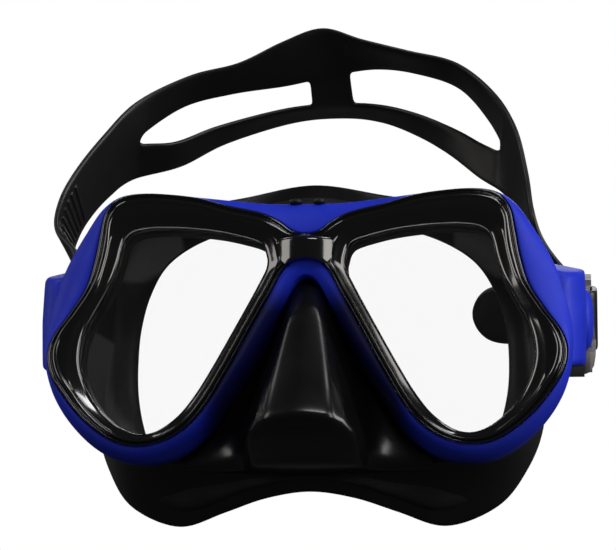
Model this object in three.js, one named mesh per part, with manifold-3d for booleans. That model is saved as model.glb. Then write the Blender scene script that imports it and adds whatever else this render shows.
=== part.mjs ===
// Two-window diving mask: a blue frame shell with a clipped black lens retainer, two tempered
// lenses, a one-piece silicone skirt with a nose pocket, and a split silicone head strap that runs
// through a swivelling roller buckle on each temple.
// Millimetres. +X is the wearer's left, -Y is the way the wearer looks, +Z is up. The origin is on
// the symmetry plane, where the face touches the skirt at the height of the eyes.

import * as THREE from 'three';
import { mergeVertices } from 'three/addons/utils/BufferGeometryUtils.js';
import Module from 'manifold-3d';

const wasm = await Module();
wasm.setup();

// ---------------------------------------------------------------- driving dimensions
const FACE_DEPTH = 50;          // front of the retainer to the face seal at the temples
const GAP = 0.35;               // clearance between touching pieces
const RETAINER_FRONT = -1.6;    // depths are measured back from the front rim plane
const RETAINER_BACK = 2.6;
const FRAME_FRONT = 0.6;
const FRAME_BACK = 14;
const LENS_THICKNESS = 4;
const LENS_LAP = 1.8;           // how far the glass reaches under the retainer
const SKIRT_WALL = 2;
const SKIRT_FRONT = FRAME_BACK + GAP;

const PIVOT_DEPTH = 42;         // swivel pin of each buckle, behind the rim plane
const PIVOT_HEIGHT = 7.5;
const STRAP_RISE = 20;          // degrees that the worn strap is swung up above horizontal
const STRAP_WIDTH = 20;
const STRAP_THICKNESS = 2;
const PIN_RADIUS = 3;
const TONGUE_INNER = 75.2;      // the frame arm's swivel tongue, measured from the symmetry plane
const TONGUE_OUTER = 77.5;
const PLATE_OUTER = 79.6;       // outer face of the buckle's base plate
const BUCKLE_HALF_WIDTH = 15;
const BUCKLE_WALL = 1.8;
const ROLLER_REACH = 19;        // roller axis, from the swivel pin along the strap
const ROLLER_OFFSET = 84.6;     // roller axis, from the symmetry plane
const ROLLER_RADIUS = 2.4;
const AXLE_RADIUS = 1.1;
const PAWL_REACH = 8.5;         // pawl pin, from the swivel pin along the strap
const PAWL_OFFSET = 84;
const PAWL_PIN_RADIUS = 1;
const RIM_STEPS = 72;           // points round a full outline

// ---------------------------------------------------------------- half outlines (x, z)
// Each list runs from the top centre to the bottom centre on the +X side.
const FRAME_OUTLINE = [
  [0, 40.4], [12, 40.2], [25, 41.6], [41.5, 43.8], [52, 44.4], [59.2, 43.6], [64.2, 40], [68.4, 35.2],
  [74.2, 24.5], [77.7, 15.5], [80, 6.4], [81.4, -3.1], [80.6, -12], [77.4, -21], [71.4, -29.2], [63, -36.6],
  [51, -40.2], [43, -39.2], [36, -35.5], [29.6, -29.5], [25.2, -23.5], [21, -17], [17.2, -11.5],
  [13.4, -5], [10.3, 1], [8, 7], [5.6, 12.5], [3, 16.6], [0, 18],
];
const RETAINER_OUTLINE = [
  [0, 30.8], [5.6, 33], [9.3, 35.5], [15, 37.9], [25, 40.4], [41.5, 42.6], [52, 42.6], [60.8, 39.6],
  [64, 32.5], [65.4, 23], [68.6, 13.1], [75.8, 3.1], [80, -6.8], [78, -14], [73.9, -19.3],
  [65.4, -29.2], [58.5, -34.2], [49.7, -34.9], [40.1, -32.3], [33.8, -27.1], [28.6, -19.9],
  [22.8, -9.6], [16.3, 2.6], [11.6, 11], [6.4, 18.6], [0, 22.9],
];
// The right-hand lens opening is a closed outline of its own.
const LENS_OPENING = [
  [12.5, 26], [12, 20.5], [15.4, 13.1], [21, 3.1], [26.4, -6.8], [32.2, -16.8], [38.4, -25.3],
  [44.6, -29.9], [51.2, -31.5], [60.5, -26.4], [66.6, -19], [69.6, -11.5], [70.2, -4], [67.6, 4],
  [62, 13], [59, 21.5], [57.4, 29], [53.6, 32.6], [46, 33.5], [34, 33], [20, 30.4], [14.6, 28.6],
];
// Skirt stations, top centre to bottom centre: the front ring behind the frame (x, z), the outer
// edge of the face flange and the inner edge of its sealing lip (x, depth, z).
const SKIRT_FRONT_RING = [
  [0, 37], [20, 38], [38, 39.5], [53, 39.5], [63, 34], [67.5, 25], [71.5, 13], [73.5, 0],
  [73, -14], [66, -29], [56, -36], [46, -38.2], [34, -38.5], [18, -39], [0, -39.5],
];
const SKIRT_EDGE = [
  [0, 24, 52], [22, 26, 48.8], [41, 31, 46.5], [57, 38, 41], [66, 44, 31], [70, 47.5, 18],
  [71, 49, 4], [72, 48.5, -11], [71.5, 45, -24], [67, 39, -37], [58, 31, -50], [42, 26, -57],
  [27, 22, -53], [14, 19, -49], [0, 18, -47],
];
const SKIRT_LIP = [
  [0, 30, 40], [20, 32, 39.5], [36, 37, 37], [49, 44, 31], [56, 50, 22], [59.5, 53, 11],
  [60.5, 54, 0], [60, 53, -11], [57.5, 50, -22], [53, 45, -32], [46, 38, -40], [37, 33, -45.5],
  [27, 28.5, -44], [14, 25, -41.5], [0, 24, -40.5],
];
// Nose pocket sections, top to bottom: height, half-width in front, half-width behind, front depth.
const NOSE_SECTIONS = [
  [14.8, 2.4, 3.2, 7], [8, 4, 6.4, 1], [-2, 5.6, 10, -5], [-14, 8, 15, -12], [-24, 9.8, 18, -16.5],
  [-27.5, 10.2, 18.6, -17], [-31, 12.6, 19, -10], [-36.5, 14.6, 19, 1], [-39, 15, 19, 6],
];

// Strap stations from the right-temple buckle round the head to the left-temple buckle: the top
// edge, the split's upper and lower edges where it is open, and the bottom edge (x, depth, z).
const STRAP_STATIONS = [
  { top: [-85, 67.5, 32], bottom: [-85.5, 80, 16] },
  { top: [-86.5, 69, 42], bottom: [-85, 85.5, 29] },
  { top: [-93.6, 73, 50.8], bottom: [-90, 88, 43.5] },
  { top: [-93.6, 78, 62], bottom: [-90.4, 93, 50.5] },
  { top: [-89, 83, 74], bottom: [-88, 101, 60] },
  { top: [-81, 92, 89], bottom: [-83, 110, 70] },
  { top: [-71, 100, 103], upper: [-74, 109, 90.4], lower: [-73.6, 109.5, 89], bottom: [-76, 120, 79] },
  { top: [-53, 104, 113], upper: [-58, 115, 104], lower: [-60, 115, 91.5], bottom: [-60, 129, 86] },
  { top: [-36, 105, 117.5], upper: [-40, 117.5, 109.5], lower: [-46, 126, 100], bottom: [-45, 142, 98] },
  { top: [-20, 101.5, 124], upper: [-20, 119, 112.5], lower: [-22, 135, 108.5], bottom: [-22, 155, 109] },
  { top: [-6, 101, 128.5], upper: [-3, 120.5, 116.5], lower: [-3, 137, 110.5], bottom: [-3, 157, 111] },
  { top: [8, 101.5, 124], upper: [12, 122, 119], lower: [12, 134.5, 109], bottom: [12, 152, 107.5] },
  { top: [24, 103.5, 120], upper: [26, 123, 117.5], lower: [26, 129, 104], bottom: [26, 142, 99] },
  { top: [41, 104, 115.5], upper: [42, 118, 110], lower: [39.5, 120, 96], bottom: [38, 128, 88] },
  { top: [54, 100, 104], upper: [53, 111, 95.4], lower: [48.4, 112, 89], bottom: [49, 115, 76] },
  { top: [62, 91, 89], bottom: [58, 107.5, 68] },
  { top: [66, 80, 70], bottom: [64, 99, 57] },
  { top: [68, 68, 54], bottom: [68, 86, 41] },
  { top: [71.5, 69, 43.5], bottom: [72, 86.5, 29] },
  { top: [79, 70.5, 33.5], bottom: [79, 86, 19.5] },
  { top: [86, 68.5, 28], bottom: [86, 80, 11.5] },
];
const SPLIT_TAB = [9.35, 10.35];     // stations between which a tab joins the two bands
// Middle line of each loose tail end, after it leaves the buckle (x, depth, z).
const TAIL_LINES = {
  '-1': [[-78.5, 74.5, 23], [-76, 83, 32]],
  '1': [[75, 72.5, 18], [64, 77, 19], [54, 80, 20], [47.9, 81.5, 20.5]],
};

// ---------------------------------------------------------------- materials
const plastic = (color, roughness) => new THREE.MeshStandardMaterial({ color, roughness, metalness: 0 });
const MATERIALS = {
  frameBlue: plastic(0x2438c8, 0.5),
  glossBlack: plastic(0x0b0a0b, 0.12),
  silicone: plastic(0x141213, 0.38),
  buckleGrey: plastic(0x645c5c, 0.55),
  pinSteel: new THREE.MeshStandardMaterial({ color: 0xb8b8b8, roughness: 0.3, metalness: 1 }),
  glass: new THREE.MeshStandardMaterial({ color: 0xffffff, roughness: 0.02, transparent: true, opacity: 0.25 }),
};

// ---------------------------------------------------------------- solids
function toSolid(geometry) {
  const bare = geometry.index ? geometry : geometry.clone();
  bare.deleteAttribute('normal');
  bare.deleteAttribute('uv');
  const merged = mergeVertices(bare, 1e-4);
  const mesh = new wasm.Mesh({
    numProp: 3,
    vertProperties: new Float32Array(merged.attributes.position.array),
    triVerts: new Uint32Array(merged.index.array),
  });
  return new wasm.Manifold(mesh);
}

function toGeometry(solid) {
  const mesh = solid.getMesh();
  const geometry = new THREE.BufferGeometry();
  geometry.setAttribute('position', new THREE.BufferAttribute(mesh.vertProperties, 3));
  geometry.setIndex(new THREE.BufferAttribute(mesh.triVerts, 1));
  return geometry;
}

const part = new THREE.Group();

function addNode(name, solid, material) {
  const mesh = new THREE.Mesh(toGeometry(solid), material);
  mesh.name = name;
  part.add(mesh);
}

// Depth behind the front rim plane to row Y.
const rowY = (depth) => depth - FACE_DEPTH;

// ---------------------------------------------------------------- outlines
function smoothLoop(points, steps) {
  const knots = points.map(([x, z]) => new THREE.Vector3(x, z, 0));
  const curve = new THREE.CatmullRomCurve3(knots, true, 'centripetal');
  return curve.getSpacedPoints(steps).slice(0, steps).map((p) => new THREE.Vector2(p.x, p.y));
}

function mirroredLoop(half) {
  const left = half.slice(1, -1).reverse().map(([x, z]) => [-x, z]);
  return [...half, ...left];
}

// Moves every point of a loop along its outward normal. Outlines run clockwise seen from the front.
function offsetLoop(loop, distance) {
  const turn = THREE.ShapeUtils.isClockWise(loop) ? 1 : -1;
  return loop.map((point, i) => {
    const before = loop[(i + loop.length - 1) % loop.length];
    const after = loop[(i + 1) % loop.length];
    const along = after.clone().sub(before).normalize();
    return new THREE.Vector2(point.x - turn * along.y * distance, point.y + turn * along.x * distance);
  });
}

const mirrorX = (loop) => loop.map((p) => new THREE.Vector2(-p.x, p.y)).reverse();

// A flat plate whose outline is in x and z, from one depth to another.
function plate(loop, frontDepth, backDepth) {
  const thickness = backDepth - frontDepth;
  const geometry = new THREE.ExtrudeGeometry(new THREE.Shape(loop), { depth: thickness, bevelEnabled: false });
  geometry.rotateX(Math.PI / 2);
  geometry.translate(0, rowY(backDepth), 0);
  return toSolid(geometry);
}

const frameLoop = smoothLoop(mirroredLoop(FRAME_OUTLINE), RIM_STEPS);
const retainerLoop = smoothLoop(mirroredLoop(RETAINER_OUTLINE), RIM_STEPS);
const openingLoop = smoothLoop(LENS_OPENING, 36);
const openings = [openingLoop, mirrorX(openingLoop)];

// ---------------------------------------------------------------- buckle coordinates
// reach runs from the swivel pin along the strap, across is the strap's width, and offset is the
// distance from the symmetry plane. A buckle is modelled with x = offset, y = reach, z = across.
const SWIVEL_TILT = THREE.MathUtils.degToRad(STRAP_RISE);

function buckleMatrix(side) {
  const place = new THREE.Matrix4().makeTranslation(0, rowY(PIVOT_DEPTH), PIVOT_HEIGHT);
  const tilt = new THREE.Matrix4().makeRotationX(SWIVEL_TILT);
  const mirror = new THREE.Matrix4().makeScale(side, 1, 1);
  return mirror.multiply(place.multiply(tilt));
}

function bucklePoint(side, offset, reach, across) {
  return new THREE.Vector3(offset, reach, across).applyMatrix4(buckleMatrix(side));
}

const placed = (solid, side) => solid.transform(buckleMatrix(side).toArray());

function box(x0, x1, y0, y1, z0, z1) {
  const geometry = new THREE.BoxGeometry(x1 - x0, y1 - y0, z1 - z0);
  geometry.translate((x0 + x1) / 2, (y0 + y1) / 2, (z0 + z1) / 2);
  return toSolid(geometry);
}

// A turned piece along +X between two offsets.
function discX(radius, x0, x1, y, z, steps = 28) {
  const geometry = new THREE.CylinderGeometry(radius, radius, x1 - x0, steps);
  geometry.rotateZ(Math.PI / 2);
  geometry.translate((x0 + x1) / 2, y, z);
  return toSolid(geometry);
}

// A turned piece along the strap's width.
function rodZ(radius, z0, z1, x, y, steps = 20) {
  const geometry = new THREE.CylinderGeometry(radius, radius, z1 - z0, steps);
  geometry.rotateX(Math.PI / 2);
  geometry.translate(x, y, (z0 + z1) / 2);
  return toSolid(geometry);
}

// ---------------------------------------------------------------- frame, retainer and lenses
function frameArm(side) {
  // The arm's side view: a rounded block behind the temple that thins to a swivel tongue.
  const shape = new THREE.Shape();
  shape.moveTo(7, -9);
  shape.lineTo(22, -9);
  shape.quadraticCurveTo(25, -9, 25, -6);
  shape.lineTo(25, 20);
  shape.quadraticCurveTo(24, 25, 19, 25);
  shape.lineTo(7, 21);
  const block = new THREE.ExtrudeGeometry(shape, { depth: 10, bevelEnabled: false, curveSegments: 4 });
  block.applyMatrix4(new THREE.Matrix4().makeBasis(
    new THREE.Vector3(0, 1, 0), new THREE.Vector3(0, 0, 1), new THREE.Vector3(1, 0, 0)));
  block.translate(TONGUE_INNER, rowY(0), 0);

  const y = rowY(PIVOT_DEPTH);
  const tongueBase = box(TONGUE_INNER, TONGUE_OUTER, rowY(20), y, PIVOT_HEIGHT - 9, PIVOT_HEIGHT + 9);
  const eye = discX(9, TONGUE_INNER, TONGUE_OUTER, y, PIVOT_HEIGHT);
  const hole = discX(PIN_RADIUS + 0.1, TONGUE_INNER - 5, TONGUE_OUTER + 5, y, PIVOT_HEIGHT);
  const arm = toSolid(block).add(tongueBase).add(eye).subtract(hole);
  return side > 0 ? arm : arm.mirror([1, 0, 0]);
}

function buildFrame() {
  let frame = plate(frameLoop, FRAME_FRONT, FRAME_BACK);
  const retainerSeat = plate(offsetLoop(retainerLoop, GAP), FRAME_FRONT - 5, RETAINER_BACK + GAP);
  frame = frame.subtract(retainerSeat);
  for (const opening of openings) {
    frame = frame.subtract(plate(offsetLoop(opening, LENS_LAP + GAP), FRAME_FRONT - 5, FRAME_BACK + 5));
  }
  for (const side of [-1, 1]) frame = frame.add(frameArm(side));
  addNode('frame_shell', frame, MATERIALS.frameBlue);
}

function buildRetainer() {
  let retainer = plate(retainerLoop, RETAINER_FRONT, RETAINER_BACK);
  for (const opening of openings) {
    retainer = retainer.subtract(plate(opening, RETAINER_FRONT - 5, RETAINER_BACK + 5));
  }
  addNode('lens_retainer', retainer, MATERIALS.glossBlack);
}

function buildLenses() {
  const front = RETAINER_BACK + GAP;
  const names = ['lens_left', 'lens_right'];
  openings.forEach((opening, i) => {
    const lens = plate(offsetLoop(opening, LENS_LAP), front, front + LENS_THICKNESS);
    addNode(names[i], lens, MATERIALS.glass);
  });
}

// ---------------------------------------------------------------- skirt
// Joins rings of equal point count into one closed surface; a closed ring of rings has no caps.
function loft(rings, closed) {
  const count = rings[0].length;
  const positions = rings.flat().flatMap((p) => [p.x, p.y, p.z]);
  const index = [];
  const last = closed ? rings.length : rings.length - 1;
  for (let r = 0; r < last; r += 1) {
    const next = (r + 1) % rings.length;
    for (let i = 0; i < count; i += 1) {
      const j = (i + 1) % count;
      index.push(r * count + i, r * count + j, next * count + j);
      index.push(r * count + i, next * count + j, next * count + i);
    }
  }
  if (!closed) {
    for (let i = 1; i < count - 1; i += 1) {
      index.push(0, i + 1, i);
      const base = (rings.length - 1) * count;
      index.push(base, base + i, base + i + 1);
    }
  }
  const geometry = new THREE.BufferGeometry();
  geometry.setAttribute('position', new THREE.Float32BufferAttribute(positions, 3));
  geometry.setIndex(index);
  const solid = toSolid(geometry);
  if (solid.volume() > 0) return solid;
  for (let i = 0; i < index.length; i += 3) [index[i], index[i + 1]] = [index[i + 1], index[i]];
  geometry.setIndex(index);
  return toSolid(geometry);
}

// A smooth closed loop in space through mirrored half stations, sampled station by station.
function spaceLoop(half, stepsPerStation) {
  const left = half.slice(1, -1).reverse().map(([x, y, z]) => [-x, y, z]);
  const knots = [...half, ...left].map(([x, y, z]) => new THREE.Vector3(x, rowY(y), z));
  const curve = new THREE.CatmullRomCurve3(knots, true, 'centripetal');
  const count = knots.length * stepsPerStation;
  return Array.from({ length: count }, (_, i) => curve.getPoint(i / count));
}

function noseSolid(shrink, backDepth) {
  const rings = NOSE_SECTIONS.map(([z, front, back, depth], i) => {
    const last = i === NOSE_SECTIONS.length - 1;
    const lift = i === 0 ? -shrink : last ? shrink : 0;
    const w = Math.max(front - shrink, 0.8);
    const b = Math.max(back - shrink, 1.2);
    const y0 = depth + shrink;
    const mid = (y0 + backDepth) / 2;
    const section = [
      [-b, backDepth], [-(b * 0.6 + w * 0.4), mid], [-w, y0 + 1.2], [-w * 0.6, y0],
      [w * 0.6, y0], [w, y0 + 1.2], [b * 0.6 + w * 0.4, mid], [b, backDepth],
    ];
    return section.map(([x, y]) => new THREE.Vector3(x, rowY(y), z + lift));
  });
  return loft(rings, false);
}

function buildSkirt() {
  const steps = 2;
  const front = spaceLoop(SKIRT_FRONT_RING.map(([x, z]) => [x, SKIRT_FRONT, z]), steps);
  const edge = spaceLoop(SKIRT_EDGE, steps);
  const lip = spaceLoop(SKIRT_LIP, steps);
  const inward = (p, amount, back) => {
    const flat = new THREE.Vector2(p.x, p.z * 1.4).normalize().multiplyScalar(-amount);
    return new THREE.Vector3(p.x + flat.x, p.y + back, p.z + flat.y);
  };
  const sections = front.map((_, i) => [
    front[i], edge[i], lip[i], inward(lip[i], -0.4, -1.5), inward(edge[i], 3, -2.4),
    inward(front[i], SKIRT_WALL, SKIRT_WALL),
  ]);
  const wall = loft(sections, true);
  const ring = front.map((p) => new THREE.Vector2(p.x, p.z));
  let skirt = wall.add(plate(ring, SKIRT_FRONT, SKIRT_FRONT + SKIRT_WALL + 0.2));
  for (const opening of openings) {
    const outer = plate(offsetLoop(opening, LENS_LAP), RETAINER_BACK + 2 * GAP + LENS_THICKNESS, SKIRT_FRONT + 1);
    skirt = skirt.add(outer);
  }
  skirt = skirt.add(noseSolid(0, SKIRT_FRONT + SKIRT_WALL));
  skirt = skirt.subtract(noseSolid(SKIRT_WALL, SKIRT_FRONT + SKIRT_WALL + 4));
  for (const opening of openings) {
    skirt = skirt.subtract(plate(opening, 0, SKIRT_FRONT + SKIRT_WALL + 4));
  }
  addNode('skirt', skirt, MATERIALS.silicone);
}

// ---------------------------------------------------------------- strap
// A band of even thickness between two edges, each an array of points of the same length.
function band(topEdge, bottomEdge, thickness) {
  const rings = topEdge.map((top, i) => {
    const bottom = bottomEdge[i];
    const before = Math.max(i - 1, 0);
    const after = Math.min(i + 1, topEdge.length - 1);
    const start = topEdge[before].clone().add(bottomEdge[before]);
    const along = topEdge[after].clone().add(bottomEdge[after]).sub(start);
    const normal = along.cross(top.clone().sub(bottom)).normalize().multiplyScalar(thickness / 2);
    return [
      top.clone().add(normal), bottom.clone().add(normal),
      bottom.clone().sub(normal), top.clone().sub(normal),
    ];
  });
  return loft(rings, false);
}

const toVector = ([x, depth, z]) => new THREE.Vector3(x, rowY(depth), z);

// One strap end: round the roller, then back inside the strap as the loose tail.
function strapEnd(side) {
  const turnRadius = ROLLER_RADIUS + GAP + STRAP_THICKNESS / 2;
  const path = [bucklePoint(side, ROLLER_OFFSET + turnRadius, 27, 0)];
  const turnSteps = 8;
  for (let i = 0; i <= turnSteps; i += 1) {
    const angle = (Math.PI * i) / turnSteps;
    const offset = ROLLER_OFFSET + turnRadius * Math.cos(angle);
    path.push(bucklePoint(side, offset, ROLLER_REACH - turnRadius * Math.sin(angle), 0));
  }
  path.push(bucklePoint(side, ROLLER_OFFSET - turnRadius, 26.5, 0));
  for (const point of TAIL_LINES[side]) path.push(toVector(point));
  const halfWidth = bucklePoint(1, 0, 0, STRAP_WIDTH / 2).sub(bucklePoint(1, 0, 0, 0));
  return path.map((p) => ({ top: p.clone().add(halfWidth), bottom: p.clone().sub(halfWidth) }));
}

function buildStrap() {
  const stations = STRAP_STATIONS.map((s) => {
    const top = toVector(s.top);
    const bottom = toVector(s.bottom);
    const middle = top.clone().lerp(bottom, 0.5);
    return {
      top, bottom, upper: s.upper ? toVector(s.upper) : middle, lower: s.lower ? toVector(s.lower) : middle,
    };
  });
  const ends = { '-1': strapEnd(-1), '1': strapEnd(1) };
  const first = ends['-1'][0];
  const last = ends['1'][0];
  const withMiddle = (s) => {
    const middle = s.top.clone().lerp(s.bottom, 0.5);
    return { ...s, upper: middle, lower: middle };
  };
  const loop = [withMiddle(first), ...stations, withMiddle(last)];
  const curves = {};
  for (const key of ['top', 'upper', 'lower', 'bottom']) {
    curves[key] = new THREE.CatmullRomCurve3(loop.map((s) => s[key]), false, 'centripetal');
  }
  // Samples an edge curve between two stations.
  const sample = (key, from, to, steps) => Array.from({ length: steps + 1 }, (_, i) => {
    const station = from + ((to - from) * i) / steps;
    return curves[key].getPoint(station / (loop.length - 1));
  });
  const lapped = (edge, towards, amount) => edge.map((p, i) => {
    const toward = towards[i].clone().sub(p).normalize().multiplyScalar(amount);
    return p.clone().add(toward);
  });
  const lastStation = loop.length - 1;
  const steps = lastStation * 2;
  const edges = {};
  for (const key of Object.keys(curves)) edges[key] = sample(key, 0, lastStation, steps);
  let strap = band(edges.top, lapped(edges.upper, edges.bottom, 0.3), STRAP_THICKNESS);
  strap = strap.add(band(lapped(edges.lower, edges.top, 0.3), edges.bottom, STRAP_THICKNESS));

  const [tabStart, tabEnd] = SPLIT_TAB.map((station) => station + 1);
  const tabTop = lapped(sample('upper', tabStart, tabEnd, 3), sample('lower', tabStart, tabEnd, 3), -2);
  const tabBottom = lapped(sample('lower', tabStart, tabEnd, 3), sample('upper', tabStart, tabEnd, 3), -2);
  strap = strap.add(band(tabTop, tabBottom, STRAP_THICKNESS));

  for (const end of Object.values(ends)) {
    strap = strap.add(band(end.map((s) => s.top), end.map((s) => s.bottom), STRAP_THICKNESS));
  }
  addNode('strap', strap, MATERIALS.silicone);
}

// ---------------------------------------------------------------- buckles
// The push button and the grey cover below it: centre in reach and across, radius, how far the
// round outline is squeezed along the strap, and the offsets of the base, rim and crown.
const BUTTON = { reach: -4, across: 3.8, radius: 9.9, squeeze: 0.92, base: 83.8, rim: 85, crown: 88 };
const PAWL_CEILING = 87.2;       // underside of the cover over the pawl
const COVER = { reach: 2.4, across: -5, radius: 9.8, squeeze: 0.98, base: 84.4, rim: 85.2, crown: 88.7 };

// A low round dome, grown sideways by a clearance.
function dome(form, clearance) {
  const { base, rim, crown } = form;
  const radius = form.radius + clearance;
  const rise = crown - rim;
  const profile = [
    [0, base], [radius * 0.96, base], [radius, base + 0.6], [radius, rim], [radius * 0.93, rim + rise * 0.45],
    [radius * 0.72, rim + rise * 0.8], [radius * 0.4, crown - rise * 0.05], [0, crown],
  ].map(([r, x]) => new THREE.Vector2(r, x));
  if (profile[2].y > profile[3].y) profile.splice(2, 1);
  const geometry = new THREE.LatheGeometry(profile, 28);
  geometry.rotateZ(-Math.PI / 2);
  geometry.scale(1, form.squeeze, 1);
  geometry.translate(0, form.reach, form.across);
  return toSolid(geometry);
}

function buckleBody() {
  const half = BUCKLE_HALF_WIDTH;
  const plateInner = TONGUE_OUTER + GAP;
  const wallOuter = 87.4;
  const nose = 16;              // length of the rounded end in front of the swivel pin
  const rear = 24;
  const corner = 5;
  const shape = new THREE.Shape();
  shape.moveTo(rear - corner, -half);
  shape.quadraticCurveTo(rear, -half, rear, -half + corner);
  shape.lineTo(rear, half - corner);
  shape.quadraticCurveTo(rear, half, rear - corner, half);
  shape.lineTo(-nose + half, half);
  shape.absarc(-nose + half, 0, half, Math.PI / 2, (3 * Math.PI) / 2, false);
  const toBuckle = new THREE.Matrix4().makeBasis(
    new THREE.Vector3(0, 1, 0), new THREE.Vector3(0, 0, 1), new THREE.Vector3(1, 0, 0));
  const extruded = (outline, x0, x1) => {
    const geometry = new THREE.ExtrudeGeometry(outline, { depth: x1 - x0, bevelEnabled: false, curveSegments: 14 });
    geometry.applyMatrix4(toBuckle);
    geometry.translate(x0, 0, 0);
    return toSolid(geometry);
  };
  const hollow = new THREE.Shape();
  const inner = half - BUCKLE_WALL;
  hollow.moveTo(rear + 5, -inner);
  hollow.lineTo(rear + 5, inner);
  hollow.lineTo(-nose + half, inner);
  hollow.absarc(-nose + half, 0, inner, Math.PI / 2, (3 * Math.PI) / 2, false);

  let body = extruded(shape, plateInner, wallOuter);
  body = body.subtract(extruded(hollow, PLATE_OUTER, wallOuter + 5));
  // A low rounded cover closes the lower front of the buckle, and the button the upper front.
  body = body.subtract(box(COVER.base + 0.5, wallOuter + 5, -nose - 5, 5.8, -half - 5, half + 5));
  body = body.add(dome(COVER, 0).subtract(box(70, PAWL_CEILING, -0.5, 30, -10, 10))
    .subtract(box(70, 95, -30, 30, -half - 5, -half)));
  body = body.subtract(box(BUTTON.base - 1.3, wallOuter + 5, -nose - 5, 6.2, -4.2, half + 5));
  body = body.subtract(dome(BUTTON, 0.45).add(discX(BUTTON.radius + 0.45, BUTTON.base - 1.3, 95, 0, 0)
    .scale([1, BUTTON.squeeze, 1]).translate([0, BUTTON.reach, BUTTON.across])));
  body = body.subtract(discX(PIN_RADIUS + 0.1, plateInner - 5, wallOuter + 5, 0, 0));
  body = body.subtract(rodZ(AXLE_RADIUS + 0.1, -half - 5, half + 5, ROLLER_OFFSET, ROLLER_REACH));
  body = body.subtract(rodZ(PAWL_PIN_RADIUS + 0.1, -half - 5, half + 5, PAWL_OFFSET, PAWL_REACH));
  return body;
}

function buckleButton() {
  return dome(BUTTON, 0);
}

function pawl() {
  // Side view in reach and offset: a tail under the button, an eye on the pin and a toothed nose.
  const shape = new THREE.Shape([
    [1, 82.3], [5, 81.9], [8.5, 81.5], [11.2, 82.2], [13.2, 83.6], [13.4, 85.6], [12.2, 86],
    [10.8, 85.6], [8.5, 86.2], [6.6, 85.2], [5.8, 82.9], [1, 83.4],
  ].map(([reach, offset]) => new THREE.Vector2(reach, offset)));
  const geometry = new THREE.ExtrudeGeometry(shape, { depth: 16, bevelEnabled: false });
  geometry.applyMatrix4(new THREE.Matrix4().makeBasis(
    new THREE.Vector3(0, 1, 0), new THREE.Vector3(1, 0, 0), new THREE.Vector3(0, 0, -1)));
  geometry.translate(0, 0, 8);
  const hole = rodZ(PAWL_PIN_RADIUS + 0.1, -12, 12, PAWL_OFFSET, PAWL_REACH);
  const springSlot = box(80, 90, 5.6, 12.2, -2.6, 2.6);
  return toSolid(geometry).subtract(hole).subtract(springSlot);
}

class CoilCurve extends THREE.Curve {
  getPoint(t, target = new THREE.Vector3()) {
    const angle = t * 2 * Math.PI * 3;
    const x = PAWL_OFFSET + 1.9 * Math.cos(angle);
    const y = PAWL_REACH + 1.9 * Math.sin(angle);
    return target.set(x, y, -1.6 + 3.2 * t);
  }
}

function pawlSpring() {
  const wire = new THREE.Shape();
  wire.absarc(0, 0, 0.35, 0, 2 * Math.PI);
  const geometry = new THREE.ExtrudeGeometry(wire, {
    steps: 30, curveSegments: 3, bevelEnabled: false, extrudePath: new CoilCurve(),
  });
  return toSolid(geometry);
}

function buildBuckle(side) {
  const hand = side > 0 ? 'left' : 'right';
  const half = BUCKLE_HALF_WIDTH;
  const inner = half - BUCKLE_WALL;
  const add = (name, solid, material) => addNode(`${hand}_${name}`, placed(solid, side), material);

  add('buckle_body', buckleBody(), MATERIALS.buckleGrey);
  add('buckle_button', buckleButton(), MATERIALS.frameBlue);
  add('ratchet_pawl', pawl(), MATERIALS.buckleGrey);
  add('pawl_spring', pawlSpring(), MATERIALS.pinSteel);
  add('pawl_pin', rodZ(PAWL_PIN_RADIUS, -half, half, PAWL_OFFSET, PAWL_REACH), MATERIALS.pinSteel);
  add('roller_axle', rodZ(AXLE_RADIUS, -half, half, ROLLER_OFFSET, ROLLER_REACH), MATERIALS.pinSteel);

  const roller = rodZ(ROLLER_RADIUS, -inner + 0.4, inner - 0.4, ROLLER_OFFSET, ROLLER_REACH)
    .subtract(rodZ(AXLE_RADIUS + 0.1, -half, half, ROLLER_OFFSET, ROLLER_REACH));
  add('strap_roller', roller, MATERIALS.buckleGrey);

  // The swivel pin has a broad head inside the buckle and a groove for its snap ring.
  const pinTip = TONGUE_INNER - 2;
  const pin = discX(PIN_RADIUS, pinTip, PLATE_OUTER + GAP, 0, 0)
    .add(discX(5, PLATE_OUTER + GAP, PLATE_OUTER + GAP + 1, 0, 0))
    .subtract(discX(5, TONGUE_INNER - 1.4, TONGUE_INNER - GAP + 0.05, 0, 0)
      .subtract(discX(2.3, TONGUE_INNER - 5, TONGUE_OUTER, 0, 0)));
  add('swivel_pin', pin, MATERIALS.pinSteel);

  const ring = discX(5, TONGUE_INNER - 1.3, TONGUE_INNER - GAP, 0, 0)
    .subtract(discX(2.4, TONGUE_INNER - 5, TONGUE_OUTER, 0, 0))
    .subtract(box(70, 80, 0, 8, -1.6, 1.6));
  add('swivel_snap_ring', ring, MATERIALS.pinSteel);
}

buildFrame();
buildRetainer();
buildLenses();
buildSkirt();
buildStrap();
for (const side of [-1, 1]) buildBuckle(side);

export default part;
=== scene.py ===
"""Studio picture of a two-window diving mask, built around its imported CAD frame.

Shapes are given in millimetres. A depth is measured back from the plane of the front rim; fine
surfaces are lofted through matched points and then subdivided.
"""
import contextlib
import math

import bmesh
import bpy
import numpy as np
from mathutils import Matrix, Vector


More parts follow.
